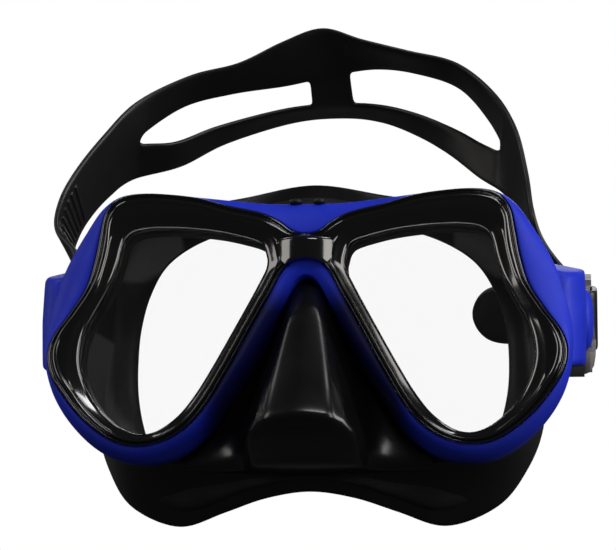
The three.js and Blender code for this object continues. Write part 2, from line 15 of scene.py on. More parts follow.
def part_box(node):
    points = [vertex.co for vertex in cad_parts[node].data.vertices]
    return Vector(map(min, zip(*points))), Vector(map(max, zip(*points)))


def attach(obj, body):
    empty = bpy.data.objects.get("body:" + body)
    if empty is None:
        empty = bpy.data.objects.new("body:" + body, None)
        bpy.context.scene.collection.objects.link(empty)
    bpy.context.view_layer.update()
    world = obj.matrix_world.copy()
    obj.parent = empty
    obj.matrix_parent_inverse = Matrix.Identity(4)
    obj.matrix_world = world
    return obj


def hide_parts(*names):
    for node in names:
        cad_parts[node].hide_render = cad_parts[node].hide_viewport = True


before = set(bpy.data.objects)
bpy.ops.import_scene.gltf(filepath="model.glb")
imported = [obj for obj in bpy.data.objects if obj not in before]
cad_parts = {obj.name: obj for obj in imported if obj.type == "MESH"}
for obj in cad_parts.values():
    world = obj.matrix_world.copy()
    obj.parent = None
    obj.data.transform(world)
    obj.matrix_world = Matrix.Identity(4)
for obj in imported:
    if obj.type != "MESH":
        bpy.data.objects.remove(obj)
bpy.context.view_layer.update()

# ------------------------------------------------------------------ driving dimensions, in mm
MM = 0.001
WELD = 0.01 * MM                     # points closer than this are one
FINE_WELD = 0.0001 * MM
FRAME_FRONT = 0.6
RIM_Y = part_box("frame_shell")[0].y / MM - FRAME_FRONT     # row y of the front rim plane
RETAINER_BACK = 2.55
FRAME_BACK = 14.0
SKIRT_FRONT = 14.35
LENS_FRONT = 2.95
LENS_THICKNESS = 4.0
LENS_LAP = 1.8
PIVOT = Vector((0, -8, 7.5))           # middle of the swivel axis, in row coordinates
STRAP_RISE = math.radians(20)
STRAP_WIDTH = 20.0
STRAP_THICKNESS = 2.0
ROLLER_REACH = 19.0
ROLLER_OFFSET = 84.6
ROLLER_TURN = 3.75                   # middle of the strap round the roller
PAWL_REACH = 8.5
PAWL_OFFSET = 84.0
BUCKLE_HALF_WIDTH = 15.0
SIDES = {"left": 1, "right": -1}

# Matched points round half the rim, top centre to nose arch: frame edge, retainer edge, lens
# opening (each x, z), and how far back the blue edge has rolled.
RIM = [
    ((0, 40.7), (0, 30.6), (12.7, 25.7), 2.6),
    ((6, 40.7), (4.2, 31.5), (13.4, 27.2), 2.5),
    ((12, 40.8), (8.2, 34.5), (14.8, 28.5), 2.2),
    ((19, 41.4), (13.6, 37.2), (18.4, 29.8), 1.8),
    ((28, 42.4), (24, 39.7), (26.0, 31.7), 1.6),
    ((36, 43.3), (33.5, 42.4), (33.5, 32.8), 1.5),
    ((44, 44.1), (42.5, 43.7), (41.0, 33.4), 1.7),
    ((52, 44.4), (51.5, 44.1), (48.0, 33.4), 2.2),
    ((59.2, 43.4), (58.7, 42.6), (53.6, 32.5), 2.8),
    ((64.6, 39.9), (62.7, 38.2), (56.4, 30.3), 3.4),
    ((69.6, 32.8), (64.3, 31.0), (57.6, 27.0), 4.4),
    ((74.8, 24.0), (65.7, 23.0), (58.6, 22.6), 5.4),
    ((78.4, 15.0), (68.3, 14.0), (60.8, 16.2), 5.6),
    ((80.4, 6.4), (73.4, 5.8), (64.8, 8.6), 5.0),
    ((81.4, 0.5), (77.8, -0.4), (68.0, 2.6), 3.8),
    ((81.4, -5.5), (79.9, -6.6), (69.8, -3.6), 3.0),
    ((80.6, -12), (78.6, -13.2), (69.9, -9.8), 3.0),
    ((77.9, -19.6), (74.6, -19.4), (67.9, -16.4), 3.0),
    ((73, -27.2), (69.6, -25.4), (64.4, -22.2), 3.0),
    ((66, -34.2), (63.0, -31.0), (60.0, -26.8), 3.0),
    ((58.2, -38.6), (56.6, -34.3), (55.4, -30.0), 3.0),
    ((50.6, -40.0), (50.2, -35.0), (50.8, -31.4), 3.4),
    ((43, -38.9), (44.4, -33.9), (46.2, -30.7), 4.4),
    ((36, -35.4), (38.8, -31.2), (42.0, -28.3), 6.0),
    ((29.8, -29.7), (33.6, -26.7), (37.6, -24.3), 7.4),
    ((25.2, -23.5), (29.0, -20.4), (33.1, -18.2), 8.2),
    ((21, -17), (25.2, -13.8), (28.9, -11.2), 8.6),
    ((17.2, -11.3), (21.6, -7.3), (25.2, -4.6), 8.6),
    ((13.6, -5), (18.0, -0.5), (21.6, 2.0), 8.2),
    ((10.6, 1), (14.3, 6.3), (17.9, 8.8), 7.4),
    ((8.1, 7), (10.9, 12.2), (14.7, 14.9), 5.6),
    ((5.7, 12.5), (7.6, 18.4), (12.5, 19.4), 3.6),
    ((3, 16.8), (4.2, 22.0), (12.0, 22.2), 2.2),
    ((0, 18.0), (0, 23.0), (12.3, 24.0), 1.8),
]
# Across the retainer's face where it is at least FULL_WIDTH wide: distance from the lens opening
# and depth, then distance from the outer edge and depth.
FULL_WIDTH = 7.4
FROM_OPENING = [
    (0, 1.5), (0.07, 0.95), (0.35, 0.6), (0.9, 0.3), (1.5, 0.1), (2.1, -0.1), (2.7, -0.32),
    (3.3, -0.55), (3.9, -0.78),
]
FROM_EDGE = [
    (0, 0.1), (0.07, -0.4), (0.3, -0.75), (0.6, -0.86), (0.9, -0.7), (1.1, -0.42), (1.3, -0.34),
    (1.5, -0.5), (1.75, -0.95), (2.1, -1.25), (2.5, -1.36), (2.9, -1.3), (3.2, -1.14), (3.45, -1.0),
]
BRIDGE_FLOOR = -0.1                  # depth of the face beside the crowned nose bridge
# The bridge's crowned pad: height and half-width of its rows, and its depths.
BRIDGE_ROWS = [
    (29.7, 9.0), (28.6, 9.2), (27.2, 9.2), (25.8, 8.8), (24.6, 8.1), (23.6, 7.1), (22.9, 6.2),
]
BRIDGE_CROWN = -2.3
BRIDGE_SAG = 3.3                     # how much deeper the pad's sides are than its crown
BRIDGE_ROLL = 2.6                    # how far its top end rolls back
BRIDGE_DROP = 1.5                    # how far the corners of its foot hang down

# Skirt stations, top centre to bottom centre: front ring (x, z), flange edge and lip (x, depth, z).
SKIRT_STATIONS = [
    ((0, 37), (0, 24, 52), (0, 30, 40)),
    ((20, 38), (22, 26, 48.8), (20, 32, 39.5)),
    ((38, 39.5), (41, 31, 46.5), (36, 37, 37)),
    ((53, 39.5), (57, 38, 41), (49, 44, 31)),
    ((63, 34), (66, 44, 31), (56, 50, 22)),
    ((67.5, 25), (70, 47.5, 18), (59.5, 53, 11)),
    ((71.5, 13), (71, 49, 4), (60.5, 54, 0)),
    ((73.5, 0), (72, 48.5, -11), (60, 53, -11)),
    ((73, -14), (71.5, 45, -24), (57.5, 50, -22)),
    ((66, -29), (67, 39, -37), (53, 45, -32)),
    ((56, -36), (58, 31, -50), (46, 38, -40)),
    ((46, -38.2), (42, 26, -57), (37, 33, -45.5)),
    ((34, -39.2), (27, 22, -53), (27, 28.5, -44)),
    ((18, -40.2), (14, 19, -49), (14, 25, -41.5)),
    ((0, -40.6), (0, 18, -47), (0, 24, -40.5)),
]
# Nose pocket rows, top to bottom, each with half its columns from the crown outwards
# (x, depth, z): crown, front edge, facet edge, side, foot and web under the frame.
NOSE_ROWS = [
    [(0, 8.5, 17.0), (1.6, 8.8, 16.8), (2.6, 9.4, 16.6),
     (3.4, 11, 16.4), (4.2, 13, 16), (7, 14.3, 18)],
    [(0, 4.8, 11.5), (2.4, 5.2, 11.3), (3.6, 6.4, 11),
     (4.8, 9.5, 10.8), (5.8, 12.6, 10.6), (10, 14.3, 12)],
    [(0, 1.2, 6.5), (3.4, 1.9, 6.2), (4.4, 3.2, 5.9),
     (6.3, 8, 5.6), (7.6, 12.3, 5.2), (13, 14.3, 6)],
    [(0, -1.8, 1), (4.5, -0.9, 0.6), (5.5, 1.0, 0.2),
     (8, 7, -0.2), (9.6, 12.2, -0.6), (17, 14.3, 0)],
    [(0, -5.4, -6), (5.8, -4.3, -6.4), (7.3, -1.6, -6.8),
     (10, 6, -7), (12, 12.0, -7.4), (21, 14.3, -7)],
    [(0, -9.6, -14), (7.1, -8.2, -14.4), (9.2, -4.8, -14.8),
     (12.2, 4.8, -15), (14.8, 12, -15.4), (26, 14.3, -15)],
    [(0, -13.8, -21.5), (8.2, -12.2, -21.8), (11, -8.4, -22.2),
     (14, 3.8, -22.6), (17.4, 12, -23), (30, 14.3, -23)],
    [(0, -16.6, -26.4), (8.9, -14.8, -27.3), (12.2, -11, -28.3),
     (15.3, 3.2, -28), (19.2, 12, -28.4), (34, 14.3, -29)],
    [(0, -17.0, -27.7), (9.1, -15.2, -29.0), (12.7, -11.6, -30.2),
     (15.6, 3.0, -29.6), (19.8, 12, -30), (35.5, 14.3, -31)],
    [(0, -15.9, -28.9), (9.6, -14.2, -30.1), (13.4, -10.8, -31.2),
     (15.9, 3.0, -31), (20.4, 12, -31.6), (36.5, 14.3, -33)],
    [(0, -14.2, -29.8), (10.2, -12.8, -31.0), (14.4, -9.4, -32.2),
     (16.2, 3.0, -32.6), (20.8, 12, -33.4), (37.5, 14.3, -35)],
    [(0, -12.8, -31.4), (11, -11.6, -32.2), (15.2, -7.6, -33.4),
     (16.5, 3.2, -34.4), (21, 12, -35.4), (38, 14.3, -36.8)],
    [(0, -6.6, -35.2), (12, -5.6, -35.4), (15.8, -2.2, -36.0),
     (16.8, 4.4, -36.6), (21, 12.2, -37.4), (38, 14.3, -38.2)],
    [(0, -1.2, -38.0), (12.6, -0.4, -38.2), (16, 2.6, -38.4),
     (17, 7, -38.6), (21, 12.8, -39), (38, 14.3, -39)],
    [(0, 0.8, -39.6), (12.8, 1.6, -39.6), (16, 4.4, -39.6),
     (17.4, 8.6, -39.6), (21, 13.4, -39.8), (38, 14.4, -39.2)],
    [(0, 6, -40.2), (12.8, 6.4, -40.2), (16, 8.2, -40.1),
     (18, 11, -40), (21, 14.0, -40.1), (38, 14.6, -39.4)],
    [(0, 13.6, -40.6), (12.8, 13.7, -40.6), (16, 13.9, -40.5),
     (18, 14.1, -40.3), (21, 14.4, -40.2), (38, 15, -39.5)],
]
NOSE_CREASES = {1: 0.75, 2: 0.7}     # columns that carry a sharp line, and how sharp
NOSE_FOLDS = (8, 10)                 # rows that carry one, round the pocket's tip
NOSE_FOLD_CREASE = 0.55
LUGS = [(-3.6, 2.0), (3.8, 1.8)]     # middle and half-width of the lugs over the frame's top edge
LUG_HEIGHT = 41.3
LUG_RISE = 1.0

# Strap stations from the right buckle round to the left one: top edge, split's upper and lower
# edges where it is open, bottom edge (x, depth, z).
STRAP_STATIONS = [
    ((-85, 67.5, 32), None, None, (-85.5, 80, 16)),
    ((-86.5, 69, 42), None, None, (-85, 85.5, 29)),
    ((-93.6, 73, 50.8), None, None, (-90, 88, 43.5)),
    ((-93.6, 78, 62), None, None, (-90.4, 93, 50.5)),
    ((-89, 83, 74), None, None, (-88, 101, 60)),
    ((-81, 92, 89), None, None, (-83, 110, 70)),
    ((-71, 100, 103), (-74, 109, 90.4), (-73.6, 109.5, 89), (-76, 120, 79)),
    ((-53, 104, 113), (-58, 115, 104), (-60, 115, 91.5), (-60, 129, 86)),
    ((-36, 105, 117.5), (-40, 117.5, 109.5), (-46, 126, 100), (-45, 142, 98)),
    ((-20, 101.5, 124), (-20, 119, 112.5), (-22, 135, 108.5), (-22, 155, 109)),
    ((-6, 101, 128.5), (-3, 120.5, 116.5), (-3, 137, 110.5), (-3, 157, 111)),
    ((8, 101.5, 124), (12, 122, 119), (12, 134.5, 109), (12, 152, 107.5)),
    ((24, 103.5, 120), (26, 123, 117.5), (26, 129, 104), (26, 142, 99)),
    ((41, 104, 115.5), (42, 118, 110), (39.5, 120, 96), (38, 128, 88)),
    ((54, 100, 104), (53, 111, 95.4), (48.4, 112, 89), (49, 115, 76)),
    ((62, 91, 89), None, None, (58, 107.5, 68)),
    ((66, 80, 70), None, None, (64, 99, 57)),
    ((68, 68, 54), None, None, (68, 86, 41)),
    ((71.5, 69, 43.5), None, None, (72, 86.5, 29)),
    ((79, 70.5, 33.5), None, None, (79, 86, 19.5)),
    ((86, 68.5, 28), None, None, (86, 80, 11.5)),
]
SPLIT_TAB = (10.35, 11.35)             # stations joined by the tab, counting the buckle as station 0
SPLIT_SPAN = (6.5, 5.2)              # stations before the split begins, from either buckle
TAIL_LINES = {
    -1: [(-78.5, 74.5, 23), (-76, 83, 32)],
    1: [(75, 72.5, 18), (64, 77, 19), (54, 80, 20), (47.9, 81.5, 20.5)],
}


# ------------------------------------------------------------------ curves and meshes
def row_point(point):
    """(x, depth, z) to row coordinates."""
    x, depth, z = point
    return (x, depth + RIM_Y, z)


def through(points, parameter, closed=False):
    """Catmull-Rom curve through rows of points, at a parameter counted in rows."""
    points = np.asarray(points, float)
    count = len(points)
    start = int(math.floor(parameter))
    if not closed:
        start = min(max(start, 0), count - 2)
    t = parameter - start

    def at(i):
        if closed:
            return points[i % count]
        if i < 0:
            return 2 * points[0] - points[1]
        if i >= count:
            return 2 * points[-1] - points[-2]
        return points[i]

    p0, p1, p2, p3 = at(start - 1), at(start), at(start + 1), at(start + 2)
    return 0.5 * (2 * p1 + (p2 - p0) * t + (2 * p0 - 5 * p1 + 4 * p2 - p3) * t * t
                  + (3 * p1 - p0 - 3 * p2 + p3) * t ** 3)


def mirrored(half):
    """A closed list of rows from half of it, the x of every row's points negated on the far side."""
    half = np.asarray(half, float)
    left = half[1:-1][::-1].copy()
    left[..., 0] *= -1
    return np.concatenate([half, left])


def smoothstep(low, high, value):
    t = min(max((value - low) / (high - low), 0.0), 1.0)
    return t * t * (3 - 2 * t)


def grid_faces(rows, columns, close_rows=False, close_columns=False, capped=False):
    """Quads between rows of points, with a face over the first and the last row if capped."""
    faces = []
    for r in range(rows if close_rows else rows - 1):
        for c in range(columns if close_columns else columns - 1):
            r2, c2 = (r + 1) % rows, (c + 1) % columns
            faces.append((r * columns + c, r * columns + c2, r2 * columns + c2, r2 * columns + c))
    if capped:
        last = (rows - 1) * columns
        faces += [tuple(range(columns)), tuple(range(last, last + columns))]
    return faces


def ring_angles(steps):
    return [2 * math.pi * i / steps for i in range(steps)]


def distances(points):
    """Distance along a line of points, from the first of them to each."""
    steps = [np.linalg.norm(b - a) for a, b in zip(points, points[1:])]
    return np.concatenate([[0], np.cumsum(steps)])


def add_object(name, data):
    obj = bpy.data.objects.new(name, data)
    bpy.context.scene.collection.objects.link(obj)
    return obj


def new_object(name, vertices, faces, material):
    mesh = bpy.data.meshes.new(name)
    mesh.from_pydata([tuple(float(v) * MM for v in p) for p in vertices], [], faces)
    mesh.validate()
    mesh.materials.append(material)
    return add_object(name, mesh)


@contextlib.contextmanager
def editing(mesh):
    """A mesh opened for editing, and written back afterwards."""
    bm = bmesh.new()
    bm.from_mesh(mesh)
    yield bm
    bm.to_mesh(mesh)
    bm.free()


def tidy_mesh(obj, merge=WELD):
    """Welds doubles and points all faces outwards."""
    with editing(obj.data) as bm:
        bmesh.ops.remove_doubles(bm, verts=bm.verts, dist=merge)
        bmesh.ops.recalc_face_normals(bm, faces=bm.faces)


def smooth(obj, angle=180):
    for polygon in obj.data.polygons:
        polygon.use_smooth = True
    if angle < 180:
        obj.data.set_sharp_from_angle(angle=math.radians(angle))


def lofted(name, vertices, faces, material, angle=180, merge=WELD):
    """A new welded piece, smooth but for edges sharper than an angle."""
    obj = new_object(name, vertices, faces, material)
    tidy_mesh(obj, merge)
    smooth(obj, angle)
    return obj


def subdivide(obj, levels):
    modifier = obj.modifiers.new("subdivision", "SUBSURF")
    modifier.levels = levels
    modifier.render_levels = levels


def bevel(obj, width, segments):
    modifier = obj.modifiers.new("edges", "BEVEL")
    modifier.width = width * MM
    modifier.segments = segments
    modifier.limit_method = "ANGLE"
    modifier.angle_limit = math.radians(32)


def apply_modifiers(obj):
    depsgraph = bpy.context.evaluated_depsgraph_get()
    final = bpy.data.meshes.new_from_object(obj.evaluated_get(depsgraph))
    obj.modifiers.clear()
    obj.data = final


def join(name, parts):
    """One object from several, their modifiers applied. Materials are kept by index."""
    bm = bmesh.new()
    materials = []
    for part in parts:
        apply_modifiers(part)
        places = []
        for material in part.data.materials:
            if material not in materials:
                materials.append(material)
            places.append(materials.index(material))
        for polygon in part.data.polygons:
            polygon.material_index = places[polygon.material_index]
        bm.from_mesh(part.data)
        bpy.data.objects.remove(part)
    mesh = bpy.data.meshes.new(name)
    bm.to_mesh(mesh)
    bm.free()
    for material in materials:
        mesh.materials.append(material)
    obj = add_object(name, mesh)
    smooth(obj, 50)
    return obj


def finish_piece(obj, body, slot, *nodes):
    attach(obj, body)
    if nodes:
        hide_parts(*nodes)
    return obj


# ------------------------------------------------------------------ materials
def shader(name, color, roughness, **sockets):
    material = bpy.data.materials.new(name)
    material.use_nodes = True
    principled = material.node_tree.nodes["Principled BSDF"]
    principled.inputs["Base Color"].default_value = (*color, 1)
    principled.inputs["Roughness"].default_value = roughness
    for key, value in sockets.items():
        principled.inputs[key.replace("_", " ")].default_value = value
    return material, material.node_tree, principled


def noise(tree, scale, detail=4.0, stretch=(1, 1, 1)):
    coordinates = tree.nodes.new("ShaderNodeTexCoord")
    mapping = tree.nodes.new("ShaderNodeMapping")
    mapping.inputs["Scale"].default_value = stretch
    texture = tree.nodes.new("ShaderNodeTexNoise")
    texture.inputs["Scale"].default_value = scale
    texture.inputs["Detail"].default_value = detail
    tree.links.new(coordinates.outputs["Object"], mapping.inputs["Vector"])
    tree.links.new(mapping.outputs["Vector"], texture.inputs["Vector"])
    return texture.outputs["Fac"]


def ramp(tree, factor, low, high, start=0.3, end=0.7):
    node = tree.nodes.new("ShaderNodeValToRGB")
    node.color_ramp.elements[0].position = start
    node.color_ramp.elements[1].position = end
    node.color_ramp.elements[0].color = low
    node.color_ramp.elements[1].color = high
    tree.links.new(factor, node.inputs["Fac"])
    return node.outputs["Color"]


def vary_color(tree, principled, factor, low, high):
    color = ramp(tree, factor, (*low, 1), (*high, 1))
    tree.links.new(color, principled.inputs["Base Color"])


def vary_roughness(tree, principled, factor, low, high, start=0.3, end=0.7):
    values = ramp(tree, factor, (low,) * 3 + (1,), (high,) * 3 + (1,), start, end)
    tree.links.new(values, principled.inputs["Roughness"])


def bump(tree, principled, height, strength, distance):
    node = tree.nodes.new("ShaderNodeBump")
    node.inputs["Strength"].default_value = strength
    node.inputs["Distance"].default_value = distance
    tree.links.new(height, node.inputs["Height"])
    tree.links.new(node.outputs["Normal"], principled.inputs["Normal"])


def math_node(tree, operation, *values):
    node = tree.nodes.new("ShaderNodeMath")
    node.operation = operation
    for socket, value in zip(node.inputs, values):
        tree.links.new(value, socket)
    return node.outputs[0]


def fade(tree, value, start, end, before, after):
    """Goes smoothly from one value to another as a coordinate passes from start to end, in mm."""
    node = tree.nodes.new("ShaderNodeMapRange")
    node.interpolation_type = "SMOOTHSTEP"
    tree.links.new(value, node.inputs["Value"])
    node.inputs["From Min"].default_value = start * MM
    node.inputs["From Max"].default_value = end * MM
    node.inputs["To Min"].default_value = before
    node.inputs["To Max"].default_value = after
    return node.outputs[0]


def surface_place(tree):
    """Distance from the symmetry plane, row y and height of each point of the surface."""
    coordinates = tree.nodes.new("ShaderNodeTexCoord")
    place = tree.nodes.new("ShaderNodeSeparateXYZ")
    tree.links.new(coordinates.outputs["Object"], place.inputs[0])
    return math_node(tree, "ABSOLUTE", place.outputs["X"]), place.outputs["Y"], place.outputs["Z"]


def mix_color(tree, factor, first, second):
    node = tree.nodes.new("ShaderNodeMix")
    node.data_type = "RGBA"
    colors = [socket for socket in node.inputs if socket.type == "RGBA"]
    tree.links.new(factor, node.inputs["Factor"])
    tree.links.new(first, colors[0])
    tree.links.new(second, colors[1])
    return next(socket for socket in node.outputs if socket.type == "RGBA")


def painted_shade_mask(tree):
    """How far the blue is darkened: most beside the nose, and more and more down the lower rim.
    It stands for the deep shadow that the photo has there."""
    aside, _, height = surface_place(tree)
    beside = fade(tree, aside, 26, 38, 0.93, 0)
    below = fade(tree, height, 6, 17, 1, 0)
    lower_rim = fade(tree, height, -46, -8, 0.7, 0)
    return math_node(tree, "MAXIMUM", math_node(tree, "MULTIPLY", beside, below), lower_rim)


def painted_light_mask(tree):
    """A mask that is 1 on the cheek and temple patches inside the skirt, where painted light goes."""
    aside, back, height = surface_place(tree)

    def within(*fades):
        product = fades[0]
        for other in fades[1:]:
            product = math_node(tree, "MULTIPLY", product, other)
        return product

    cheek = within(
        fade(tree, aside, 56, 58, 0, 1), fade(tree, height, -28, -24, 0, 1),
        fade(tree, height, 4, 6, 1, 0))
    temple = within(fade(tree, aside, 43, 45, 0, 1), fade(tree, height, 24, 26, 0, 1))
    depth = within(fade(tree, back, -33, -31, 0, 1), fade(tree, back, -6, -3, 1, 0))
    return within(math_node(tree, "MAXIMUM", cheek, temple), depth)


def blue_plastic():
    """Soft-touch moulded blue, slightly mottled, with a fine spark-eroded grain, and painted shade
    beside the nose and down the lower rim.
    """
    material, tree, principled = shader("frame_blue_soft", (0.008, 0.02, 0.55), 0.5)
    principled.inputs["Specular IOR Level"].default_value = 0.2
    color = ramp(tree, noise(tree, 38), (0.008, 0.022, 0.46, 1), (0.013, 0.032, 0.56, 1))
    # A near-black copy of the blue, mixed in as painted shade beside the nose and down the lower rim.
    dark = ramp(tree, noise(tree, 38), (0.0004, 0.0009, 0.018, 1), (0.0006, 0.0011, 0.022, 1))
    tree.links.new(mix_color(tree, painted_shade_mask(tree), color, dark), principled.inputs["Base Color"])
    vary_roughness(tree, principled, noise(tree, 160), 0.43, 0.55)
    bump(tree, principled, noise(tree, 4200, 2), 0.12, 0.00006)
    return material


def gloss_black():
    """Polished black plastic with faint handling marks."""
    material, tree, principled = shader("retainer_gloss_black", (0.003, 0.003, 0.0032), 0.1)
    principled.inputs["Specular IOR Level"].default_value = 0.7
    principled.inputs["Coat Weight"].default_value = 0.6
    principled.inputs["Coat Roughness"].default_value = 0.04
    vary_roughness(tree, principled, noise(tree, 60, 1), 0.10, 0.14)
    bump(tree, principled, noise(tree, 180, 2), 0.02, 0.00002)
    return material


def silicone(name, low, high, rough_low, rough_high, shine, grain):
    """Moulded black silicone with a satin skin and a faint bloom."""
    material, tree, principled = shader(name, low, rough_low)
    principled.inputs["Specular IOR Level"].default_value = shine
    vary_color(tree, principled, noise(tree, 26), low, high)
    vary_roughness(tree, principled, noise(tree, 70, 5), rough_low, rough_high)
    bump(tree, principled, noise(tree, 1500, 3), grain, 0.00012)
    return material


def add_painted_light(material):
    """Paints light on the cheek and temple patches inside the skirt: a lighter grey standing for light
    that falls there.
    """
    tree = material.node_tree
    base = tree.nodes["Principled BSDF"].inputs["Base Color"]
    # Lighter grey for those patches: painted light.
    painted_light_grey = ramp(tree, noise(tree, 26), (0.09, 0.085, 0.088, 1), (0.13, 0.122, 0.126, 1))
    tree.links.new(mix_color(tree, painted_light_mask(tree), base.links[0].from_socket, painted_light_grey), base)


def grey_nylon():
    material, tree, principled = shader("buckle_grey_nylon", (0.13, 0.11, 0.11), 0.5)
    vary_color(tree, principled, noise(tree, 120), (0.15, 0.14, 0.136), (0.2, 0.188, 0.182))
    vary_roughness(tree, principled, noise(tree, 300), 0.42, 0.6)
    bump(tree, principled, noise(tree, 3600, 2), 0.25, 0.00008)
    return material


def pin_steel():
    material, tree, principled = shader("pin_stainless", (0.6, 0.6, 0.6), 0.3, Metallic=1.0)
    vary_color(tree, principled, noise(tree, 400, 3, (1, 1, 12)), (0.5, 0.5, 0.5), (0.66, 0.66, 0.65))
    vary_roughness(tree, principled, noise(tree, 700, 4, (1, 1, 16)), 0.2, 0.38)
    return material


def lens_glass():
    """Clear tempered glass with a faint film of dust that only changes its gloss."""
    material, tree, principled = shader("lens_tempered_glass", (1.0, 1.0, 1.0), 0.01)
    principled.inputs["Transmission Weight"].default_value = 1.0
    principled.inputs["IOR"].default_value = 1.45
    vary_roughness(tree, principled, noise(tree, 55, 6), 0.0, 0.012, 0.4, 0.8)
    return material


BLUE = blue_plastic()
GLOSS = gloss_black()
SKIRT_OUTER = silicone(
    "skirt_silicone_satin", (0.0022, 0.002, 0.0022), (0.0034, 0.003, 0.0032), 0.22, 0.3, 0.5, 0.03)
SKIRT_INNER = silicone(
    "skirt_silicone_dark", (0.003, 0.0028, 0.003), (0.005, 0.0045, 0.0048), 0.4, 0.5, 0.3, 0.02)
# Painted light on the cheek and temple patches inside the skirt.
add_painted_light(SKIRT_INNER)
STRAP_SKIN = silicone(
    "strap_silicone_satin", (0.005, 0.0045, 0.0046), (0.008, 0.007, 0.007), 0.32, 0.42, 0.42, 0.03)
GREY = grey_nylon()
STEEL = pin_steel()
GLASS = lens_glass()


# ------------------------------------------------------------------ retainer, frame and lenses
STEPS_PER_ROW = 6                    # samples between two rows of RIM
RETAINER_STEPS = 10                  # the same on the gloss retainer, whose highlights need more
BRIDGE_STEPS = 10                    # stations across the bridge, where the half ring closes


def rim_samples(steps_per_row):
    """Frame edge, retainer edge, opening and roll-back depth at even steps round half the rim."""
    rows = np.array([[*f, *r, *o, d] for f, r, o, d in RIM], float)
    flip = np.array([-1, 1, -1, 1, 1, 1, 1.0])
    before, after = rows[1] * flip, rows[-2] * flip
    for ghost, real in ((before, rows[-1]), (after, rows[0])):
        ghost[4:6] = real[4:6]
    padded = np.vstack([before, rows, after])
    steps = (len(rows) - 1) * steps_per_row
    return np.array([through(padded, 1 + i / steps_per_row) for i in range(steps + 1)])


RIM_SAMPLES = rim_samples(STEPS_PER_ROW)


def face_section(width, bridge):
    """Fractions across the retainer's face and their depths, at a width and a share of bridge."""
    scale = min(width / FULL_WIDTH, 1.0)
    inner = [(d * scale / width, depth) for d, depth in FROM_OPENING]
    outer = [(1 - d * scale / width, depth) for d, depth in reversed(FROM_EDGE)]
    (f0, d0), (f1, d1) = inner[-1], outer[0]
    between = []
    for t in (0.2, 0.4, 0.6, 0.8):
        depth = d0 + (d1 - d0) * t - 0.12 * math.sin(math.pi * t)
        between.append((f0 + (f1 - f0) * t, depth * (1 - bridge) + BRIDGE_FLOOR * bridge))
    outer = [(f, d * (1 - bridge) + max(d, -0.7) * bridge) for f, d in outer]
    return [(0.0, RETAINER_BACK), *inner, *between, *outer, (1.0, RETAINER_BACK)]


def retainer_half():
    samples = rim_samples(RETAINER_STEPS)
    stations = [(s[2:4], s[4:6]) for s in samples]
    for i in range(1, BRIDGE_STEPS):
        t = i / BRIDGE_STEPS
        z = samples[-1][3] * (1 - t) + samples[0][3] * t
        opening = samples[-1][4:6] * (1 - t) + samples[0][4:6] * t
        stations.append((np.array([0.0, z]), opening))
    rim_count = len(samples)
    rows = (rim_count - 1) / RETAINER_STEPS
    vertices = []
    for index, (outer, inner) in enumerate(stations):
        row = index / RETAINER_STEPS
        bridge = 1.0
        if index < rim_count:
            bridge = 1 - smoothstep(0.3, 2.4, row) * smoothstep(0.2, 2.2, rows - row)
        section = face_section(float(np.linalg.norm(outer - inner)), bridge)
        for f, depth in section:
            x, z = inner + (outer - inner) * f
            if f == 1.0 and depth < 1 and index >= rim_count:
                depth = BRIDGE_FLOOR
            vertices.append(row_point((x, depth, z)))
    columns = len(section)
    walls = {columns - 2, columns - 1}
    faces = []
    for face in grid_faces(len(stations), columns, close_rows=True, close_columns=True):
        on_seam = all(v // columns >= rim_count - 1 or v < columns for v in face)
        if not (on_seam and {v % columns for v in face} == walls):
            faces.append(face)
    return vertices, faces


def bridge_pad():
    """The crowned pad over the nose, its sides and ends rolled under the retainer's face."""
    columns = 36
    edge = [0.0, 0.03, 0.08]
    across = edge + [0.08 + 0.84 * (i + 1) / (columns - 5) for i in range(columns - 6)]
    across += [1 - e for e in reversed(edge)]
    rows = []
    count = 18
    for r in range(count + 1):
        v = r / count * (len(BRIDGE_ROWS) - 1)
        z, half = through(BRIDGE_ROWS, v)
        end_roll = smoothstep(28.7, 29.6, z) * BRIDGE_ROLL
        row = []
        for u in across:
            x = half * (2 * u - 1)
            drop = BRIDGE_DROP * (x / 5.8) ** 2 * (1 - min((z - 22.9) / 2.6, 1.0)) if z < 25.5 else 0.0
            depth = BRIDGE_CROWN + BRIDGE_SAG * (x / 9.2) ** 2 + end_roll
            row.append(row_point((x, depth, z - drop)))
        rows.append(row)
    bottom = rows[-1]
    rows.append([(x, y + 2.2, z - 0.1) for x, y, z in bottom])
    vertices = [p for row in rows for p in row]
    pad = new_object("bridge_pad", vertices, grid_faces(len(rows), len(across)), GLOSS)
    thick = pad.modifiers.new("thickness", "SOLIDIFY")
    thick.thickness = 0.6 * MM
    thick.offset = -1
    return pad


def build_retainer():
    vertices, faces = retainer_half()
    half = len(vertices)
    vertices += [(-x, y, z) for x, y, z in vertices]
    faces += [tuple(v + half for v in reversed(face)) for face in faces]
    ring = new_object("retainer_ring", vertices, faces, GLOSS)
    tidy_mesh(ring)
    subdivide(ring, 1)
    pad = bridge_pad()
    retainer = join("lens_retainer_gloss", [ring, pad])
    smooth(retainer)
    return finish_piece(retainer, "mask", "retainer_black", "lens_retainer")


BAND_FRONT = 0.42                    # depth of the blue beside the retainer
LEDGE = 2.6                          # how far the blue reaches in behind the retainer


